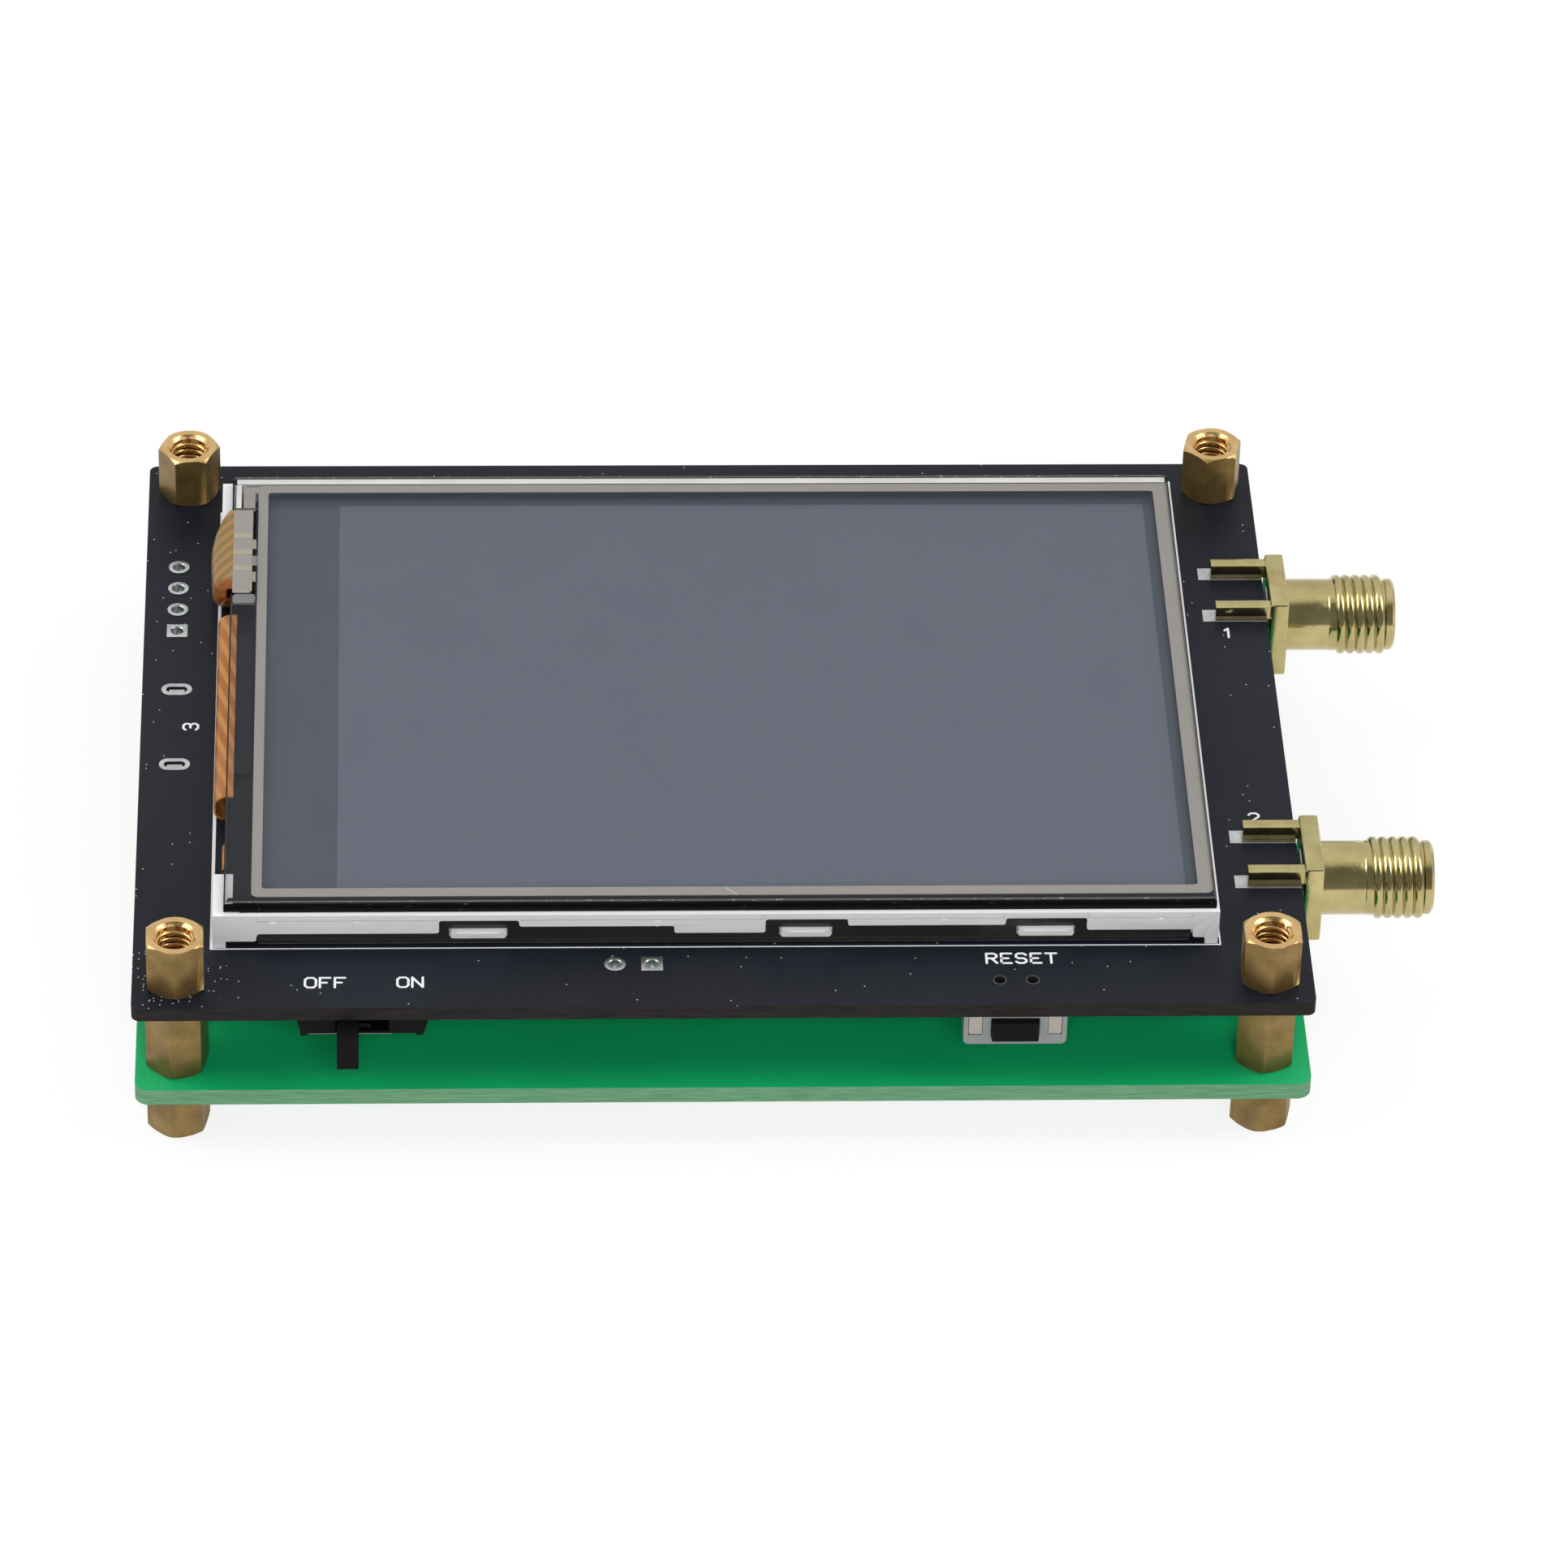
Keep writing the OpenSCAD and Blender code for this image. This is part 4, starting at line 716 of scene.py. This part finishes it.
# a thin grey line with pale flecks here and there, a painted highlight along the cut edge
filmEdge = fleckedEdge("cut edge of hard-coated polyester", "#5d605b", "#c9c9c6", 0.4, (2.5, 2.5, 6), 0.6)
# hardly there, with a clear gleam
touchClear = moulded("clear soda-lime glass", "#3a4046", 0.1, depth=0, Alpha=0.05)
# the thinnest grey veil
touchMatt = moulded("matt hard-coated polyester film", "#70757c", 0.4, depth=0, Alpha=0.04)
# warm grey and dull
silverInk = moulded("silver paste, screen-printed", "#88837d", 0.5, 2600, 0.008, dust="#807b74")
# deep black behind glass, also used as a painted dark reflection on the touch glass's front margin
cellBlack = moulded("glass over black mask", "#0d0d0f", 0.15, depth=0, dust="#101012", Specular_IOR_Level=0.06)
# slate grey with a blue cast, darker beyond the active area
screenGrey = moulded("linear polariser, switched off", "#5c616f", 0.35, depth=0, dust="#5a5f6d",
                     Specular_IOR_Level=0.25)
bandGrey = moulded("polariser beyond the active area", "#484d5a", 0.35, depth=0, dust="#464b58",
                   Specular_IOR_Level=0.25)
# chalky white
inkWhite = moulded("white screen-printed ink", "#e4e5e6", 0.6, 2400, 0.01, dust="#cfd0d2")

flexLook = {"roughness": 0.3, "pinkest": 0.45, "fold": (12.2, 13.0)}     # the tone changes on y over the fold

def flexMaterial(name, film, track, tracks, pink=None, fold=None):
    # amber polyimide over copper tracks, glossy, with the tracks showing as lighter stripes
    material, tree, shader = newMaterial(name, film, flexLook["roughness"], 0.0, Specular_IOR_Level=0.2,
                                         Coat_Weight=0.08, Coat_Roughness=0.15)
    place = addNode(tree, "TexCoord", {}, "Object")
    across = addNode(tree, "Mapping", {"Vector": place, "Scale": perMillimetre(*tracks)})
    wave = {"Vector": across, "wave_type": "BANDS", "bands_direction": "DIAGONAL", "wave_profile": "SIN",
            "Scale": oneBand, "Distortion": 0.8, "Detail": 1}
    wave = addNode(tree, "TexWave", wave, "Fac")
    colour = blend(tree, wave, 0.4, 0.8, film, track)
    if pink:
        cloud = {"Vector": place, "Scale": 220, "Detail": 2, "Roughness": 0.55}
        cloud = addNode(tree, "TexNoise", cloud, "Fac")
        colour = blend(tree, cloud, 0.4, 0.7, colour, pink, flexLook["pinkest"])
    if fold:                         # deeper amber on the side of the fold that lies in front
        along = addNode(tree, "SeparateXYZ", {0: place}, "Y")
        start, end = flexLook["fold"]
        colour = blend(tree, along, start * mm, end * mm, fold, colour)
    tree.links.new(colour, shader.inputs["Base Color"])
    ridges = addNode(tree, "Bump", {"Height": wave, "Strength": 0.15, "Distance": 0.02 * mm})
    tree.links.new(ridges, shader.inputs["Normal"])
    return material

flexAmber = flexMaterial("amber polyimide flex", "#985a1c", "#b47a3c", (1.1, 0.35, 0.3), "#ab774c")
tailAmber = flexMaterial("amber polyimide tail", "#78643c", "#967040", (-1.0, 0.79, 0.3), fold="#7a3f08")

paint("display_rear_glass", cellBlack)
paint("display_front_glass", cellBlack)
for node, name in (("display_flex", "DisplayFlex"), ("backlight_flex", "BacklightFlex")):
    copyOfNode(node, name, flexAmber, smoothAt=40)

panel = {"polariser": ((-31.95, 33.0), (-23.55, 24.12), (14.86, 15.2)),
         "active": ((-26.5, 32.02), (-21.95, 22.45), (15.2, 15.225)),
         "glass": ((-34.26, 33.99), (-24.37, 25.0), (15.25, 15.9)), "arris": 0.13,
         "film": ((-34.14, 33.84), (-24.22, 24.88), (15.93, 16.1)),
         "notch": ((-35, -32.45), (9.65, 21.05), (15, 17)),
         "frontDarkReflection": ((-34.0, 33.75), (-24.2, -23.62), (15.9005, 15.914)), "tapeReach": 0.11}
ink = {"z": (15.902, 15.924),
       "outer": ((-32.36, 33.79), (-23.54, 24.06)), "inner": ((-31.65, 32.77), (-22.63, 23.15)),
       "breakAt": (0.58, -23.1, 15.912), "breakTurn": -45,      # a gap across the ring with a pale line in it
       "breakGap": (1.9, 0.16, 1), "breakLine": (1.2, 0.07, 0.01),
       "feed": ((-33.45, -32.6), (20.9, 23.84)), "feedEnd": ((-32.62, -32.3), (23.06, 23.84)),
       "sideStub": ((-32.75, -32.3), (14.35, 15.5)),
       "rimStrips": [((-33.95, 33.75), (24.18, 24.78)), ((-33.98, -33.6), (21.1, 24.12))]}

sheet = slab(*panel["polariser"])    # thicker than the real one, because light isn't bent in the glass above
roundEdges(sheet, 0.03, 1)
done(sheet, "Polariser", "main", bandGrey, ["display_polariser"])
active = slab(*panel["active"])
roundEdges(active, 0.01, 1)
done(active, "ActiveArea", "main", screenGrey)

glass = slab(*panel["glass"])
bevelWhere(glass, lambda start, end: min(start.z, end.z) > 15.8 * mm, panel["arris"], 1)
roundEdges(glass, 0.02, 1)
done(glass, "TouchGlass", "main", touchClear, ["touch_glass"])
# the glass's upright edges are black: painted dark reflection of the dark inside
sideMaterial(glass, glassEdge, 0.9)

film = slab(*panel["film"])
roundUprights(film, 0.2)
cut(film, slab(*panel["notch"]))
roundEdges(film, 0.04, 2, 60)
done(film, "TouchFilm", "main", touchMatt, ["touch_film"])
# the film's edges take the grey flecked tone: painted highlight
sideMaterial(film, filmEdge, 0.6)

def acrossRing(size):                # a block laid slantwise over the front of the ring
    piece = block(size, (0, 0, 0))
    piece.rotation_euler = (0, 0, radians(ink["breakTurn"]))
    piece.location = [c * mm for c in ink["breakAt"]]
    settle(piece)
    return piece

ring = slab(*ink["outer"], ink["z"])
roundUprights(ring, 0.45)
inside = slab(*ink["inner"], (ink["z"][0] - 1, ink["z"][1] + 1))
roundUprights(inside, 0.25)
cut(ring, inside)
cut(ring, acrossRing(ink["breakGap"]))
feed = slab(*ink["feed"], ink["z"])
cut(feed, slab(*ink["feedEnd"], ink["z"]), "UNION")
cut(ring, feed, "UNION")
cut(ring, slab(*ink["sideStub"], ink["z"]), "UNION")
done(ring, "ElectrodeRing", "main", silverInk)

# white haze with a fine grain
paleRimStrips = moulded("pale strips along the back and left rims", "#dcdcd8", 0.5, 1500, 0.02, dust="#b4b4b0")
# pale strips over the glass along the back and left rims, joined with the pale line in the ring's break
strips = [slab(*place, ink["z"]) for place in ink["rimStrips"]]
for strip in strips:
    roundUprights(strip, 0.08, 2)
done(join(strips + [acrossRing(ink["breakLine"])]), "RimStrips", "main", paleRimStrips)

# a black strip along the touch glass's front margin: painted dark reflection of the glass's front edge
frontDarkReflection = slab(*panel["frontDarkReflection"])
roundUprights(frontDarkReflection, 0.2, 3)
done(frontDarkReflection, "FrontDarkReflection", "main", cellBlack)

# cloudy white sides, and black along the front as a painted dark reflection of the glass's front edge
edgeTape, tree, shader = newMaterial("white acrylic edge tape, black along the front", "#d9d9d6", 0.6)
place = addNode(tree, "TexCoord", {}, "Object")
cloud = addNode(tree, "TexNoise", {"Vector": place, "Scale": 500, "Detail": 3, "Roughness": 0.55}, "Fac")
along = addNode(tree, "SeparateXYZ", {0: place}, "Y")
tint = blend(tree, along, -20.1 * mm, -20 * mm, "#131313", blend(tree, cloud, 0.2, 0.8, "#deded9", "#c2c2bd"))
tree.links.new(tint, shader.inputs["Base Color"])
tape = copyOfNode("touch_tape", "TouchTape", edgeTape)
for vertex in tape.data.vertices:
    if vertex.co.y < -24.2 * mm:      # moved out to the front edge, carrying the painted dark reflection there
        vertex.co.y -= panel["tapeReach"] * mm

tail = {"bond": (-32.72, -34.15), "bondShare": 0.25, "top": 16.0, "foot": 12.44, "boxy": 3.4, "sheet": 0.09,
        "backTaper": (19.6, 0.8, 1.35, 1.3), "frontTaper": (14.0, 0.7, 2.45, 1.2),   # start, share, length, power
        "bulge": [(11.55, 0.45), (11.75, 0.75), (12.05, 1.0), (12.5, 1.22), (13.1, 1.4), (13.9, 1.5),
                  (14.75, 1.53), (15.8, 1.57), (16.9, 1.58), (17.8, 1.5), (18.65, 1.38), (19.3, 1.22),
                  (20.0, 1.0), (20.5, 0.7), (20.95, 0.3)],
        "under": ((-34.3, -31.2), (11.6, 19.4)), "pad": ((-34.13, -32.73), (10.95, 20.9), (16.0, 16.03)),
        "glue": ((-34.1, -32.47), (9.75, 10.9)), "glueZ": (15.902, 15.96), "fingerZ": (16.03, 16.05),
        "fingerX": (-34.1, -32.8), "fingers": [(17.5, 18.14), (15.51, 16.14), (13.56, 14.19)],
        "stubs": [((-32.72, -32.47), (16.33, 17.41)), ((-32.72, -32.47), (12.39, 13.56))],
        "corner": [((-34.1, -32.75), (11.0, 11.14)), ((-32.86, -32.75), (11.0, 12.3))]}

def alongTable(table, value):
    for (x0, y0), (x1, y1) in zip(table, table[1:]):
        if value <= x1:
            return y0 + (y1 - y0) * max(0, value - x0) / (x1 - x0)
    return table[-1][1]

def taper(beyond, share, length, power):     # how much of the height is gone so far beyond the start
    return share * (max(0, beyond) / length) ** power

(backStart, *backShape), (frontStart, *frontShape) = tail["backTaper"], tail["frontTaper"]
deselect()
bpy.ops.mesh.primitive_grid_add(x_subdivisions=40, y_subdivisions=36, size=1)
sheet = bpy.context.active_object
for vertex in sheet.data.vertices:
    u, v = vertex.co.x + 0.5, vertex.co.y + 0.5
    y = tail["bulge"][0][0] + v * (tail["bulge"][-1][0] - tail["bulge"][0][0])
    out = alongTable(tail["bulge"], y)
    half = (tail["top"] - tail["foot"]) / 2
    half *= 1 - taper(y - backStart, *backShape) - taper(frontStart - y, *frontShape)
    if u < tail["bondShare"]:
        x = tail["bond"][0] + (tail["bond"][1] - tail["bond"][0]) * u / tail["bondShare"]
        z = tail["top"]
    else:
        turn = pi / 2 + (u - tail["bondShare"]) / (1 - tail["bondShare"]) * pi
        x = tail["bond"][1] - out * abs(cos(turn)) ** (2 / tail["boxy"])
        z = tail["top"] - half + half * copysign(abs(sin(turn)) ** (2 / tail["boxy"]), sin(turn))
    vertex.co = (x * mm, y * mm, z * mm)
applyModifier(sheet, "SOLIDIFY", thickness=tail["sheet"] * mm, offset=1)
outward(sheet)
smooth(sheet, 50)
under = slab(*tail["under"], (tail["foot"], tail["foot"] + tail["sheet"]))
roundEdges(under, 0.02)
done(join([sheet, under]), "TouchTail", "main", tailAmber, ["touch_flex"])

pad = slab(*tail["pad"])
roundUprights(pad, 0.2, 3)
done(pad, "TailBond", "main", silverInk)
fingers = [slab(tail["fingerX"], ys, tail["fingerZ"]) for ys in tail["fingers"]]
fingers += [slab(*place, tail["glueZ"]) for place in tail["stubs"]]
fingers += [slab(*place, tail["fingerZ"]) for place in tail["corner"]]
for piece in fingers:
    roundUprights(piece, 0.05, 2)
# yellowish grey, paler than the ring
paleInk = moulded("pale silver paste under clear film", "#98927f", 0.4, 2600, 0.008, dust="#8c8574")
done(join(fingers), "TailFingers", "main", paleInk)
# lumpy mid grey
glueGrey = moulded("grey bonding adhesive", "#5b5c5f", 0.35, 900, 0.05, dust="#717275")
glue = slab(*tail["glue"], tail["glueZ"])
roundUprights(glue, 0.3, 3)
done(glue, "TailGlue", "main", glueGrey)
print("display and touch panel made")

# print on the board

glyphs = {                            # strokes on a grid one unit high
    "O": [[(0.15, 0), (0.5, 0), (0.65, 0.2), (0.65, 0.8), (0.5, 1), (0.15, 1), (0, 0.8), (0, 0.2), (0.15, 0)]],
    "F": [[(0, 0), (0, 1), (0.6, 1)], [(0, 0.5), (0.4, 0.5)]],
    "N": [[(0, 0), (0, 1), (0.62, 0), (0.62, 1)]],
    "R": [[(0, 0), (0, 1), (0.45, 1), (0.6, 0.85), (0.6, 0.65), (0.45, 0.5), (0, 0.5)],
          [(0.3, 0.5), (0.62, 0)]],
    "E": [[(0.6, 1), (0, 1), (0, 0), (0.6, 0)], [(0, 0.5), (0.42, 0.5)]],
    "S": [[(0.6, 0.85), (0.45, 1), (0.15, 1), (0, 0.85), (0, 0.65), (0.15, 0.5), (0.45, 0.5), (0.6, 0.35),
           (0.6, 0.15), (0.45, 0), (0.15, 0), (0, 0.15)]],
    "T": [[(0, 1), (0.64, 1)], [(0.32, 1), (0.32, 0)]],
    "1": [[(0.1, 0.8), (0.32, 1), (0.32, 0)]],
    "2": [[(0, 0.82), (0.15, 1), (0.45, 1), (0.6, 0.82), (0.6, 0.62), (0, 0), (0.62, 0)]],
    "3": [[(0, 0.85), (0.15, 1), (0.45, 1), (0.6, 0.85), (0.6, 0.64), (0.45, 0.52), (0.2, 0.52)],
          [(0.45, 0.52), (0.6, 0.36), (0.6, 0.15), (0.45, 0), (0.15, 0), (0, 0.15)]]}
silk = {"height": 1.03, "stroke": 0.17, "pitch": 1.02, "wide": 1.12, "low": boardTop, "high": 12.42}
words = [("OFF", (-28.67, -29.07), 0), ("ON", (-22.36, -29.07), 0), ("RESET", (18.11, -26.8), 0),
         ("1", (37.2, 10.06), 0), ("2", (37.4, -11.4), 0), ("3", (-36.45, -0.35), 90)]

def stroke(start, end):              # flat bar with round ends
    run = Vector(end) - Vector(start)
    deselect()
    bpy.ops.mesh.primitive_cylinder_add(vertices=16, radius=silk["stroke"] / 2 * mm,
                                        depth=(silk["high"] - silk["low"]) * mm,
                                        rotation=(0, 0, radians(11.25)))
    piece = bpy.context.active_object
    settle(piece)
    for vertex in piece.data.vertices:
        if vertex.co.x > 0:
            vertex.co.x += run.length * mm
    piece.rotation_euler = (0, 0, atan2(run.y, run.x))
    piece.location = (start[0] * mm, start[1] * mm, 0)
    settle(piece)
    return piece

def allInOne(pieces):                # one closed piece from several that overlap
    for piece in pieces[1:]:
        cut(pieces[0], piece, "UNION")
    return pieces[0]

letters = []
for text, (x, y), turn in words:
    for i, letter in enumerate(text):
        strokes = []
        for line in glyphs[letter]:
            scaled = [(px * silk["height"] * silk["wide"], py * silk["height"]) for px, py in line]
            strokes += [stroke(start, end) for start, end in zip(scaled, scaled[1:])]
        model = allInOne(strokes)
        model.rotation_euler = (0, 0, radians(turn))
        step = Vector((cos(radians(turn)), sin(radians(turn)))) * i * silk["pitch"]
        model.location = ((x + step.x) * mm, (y + step.y) * mm, (silk["low"] + silk["high"]) / 2 * mm)
        settle(model)
        letters.append(model)
done(join(letters), "SwitchWords", "main", inkWhite)

outline = {"x": (-35.23, 34.4), "y": (-24.93, 25.5), "stroke": 0.1, "leftStroke": 0.23}   # round the display
(left, right), (front, back) = outline["x"], outline["y"]
layer = (silk["low"], silk["high"])
frontLine = slab(outline["x"], (front, front + outline["stroke"]), layer)
leftLine = slab((left, left + outline["leftStroke"]), outline["y"], layer)
backLine = slab(outline["x"], (back - outline["stroke"], back), layer)
rightLine = slab((right - outline["stroke"], right), outline["y"], layer)
lines = allInOne([frontLine, leftLine, backLine, rightLine])
done(lines, "OutlinePrint", "main", inkWhite)
print("print made")

# plated holes

hole = {"pad": 0.75, "bore": 0.43, "wall": 0.47, "low": 11.32, "face": boardTop, "top": 12.46, "edge": 0.03,
        "round": [(-38.13, 18.82), (-38.13, 16.28), (-38.13, 13.74), (-7.44, -26.71)],
        "square": [(-38.13, 11.2), (-4.9, -26.71)]}

def platedHole(pad):                 # a pad with its barrel and a bevelled bore
    barrel = turned([(hole["low"], hole["wall"]), (hole["top"] - 0.02, hole["wall"])], 32)
    bevel = hole["bore"] + 0.06
    roundEdges(pad, hole["edge"])
    cut(pad, barrel, "UNION")
    cut(pad, turned([(hole["low"] - 0.5, hole["bore"]), (hole["top"] - 0.06, hole["bore"]),
                     (hole["top"], bevel), (hole["top"] + 0.4, bevel)], 32))
    smooth(pad, 30)
    return pad

half = hole["pad"]
roundPad = turned([(hole["face"], half), (hole["top"], half)], 48)
squarePad = slab((-half, half), (-half, half), (hole["face"], hole["top"]))
pads = []
for pad, places in ((roundPad, hole["round"]), (squarePad, hole["square"])):
    model = platedHole(pad)
    for x, y in places:
        piece = copyOf(model)
        piece.location = (x * mm, y * mm, 0)
        settle(piece)
        pads.append(piece)
    bpy.data.objects.remove(model, do_unlink=True)
done(join(pads), "PlatedHoles", "main", tinnedCopper, ["header_pads"])
for node, name in (("usb_pads", "UsbPads"), ("jack_pads", "JackPads")):
    copyOfNode(node, name, tinnedCopper, edge=0.02)
print("plated holes made")
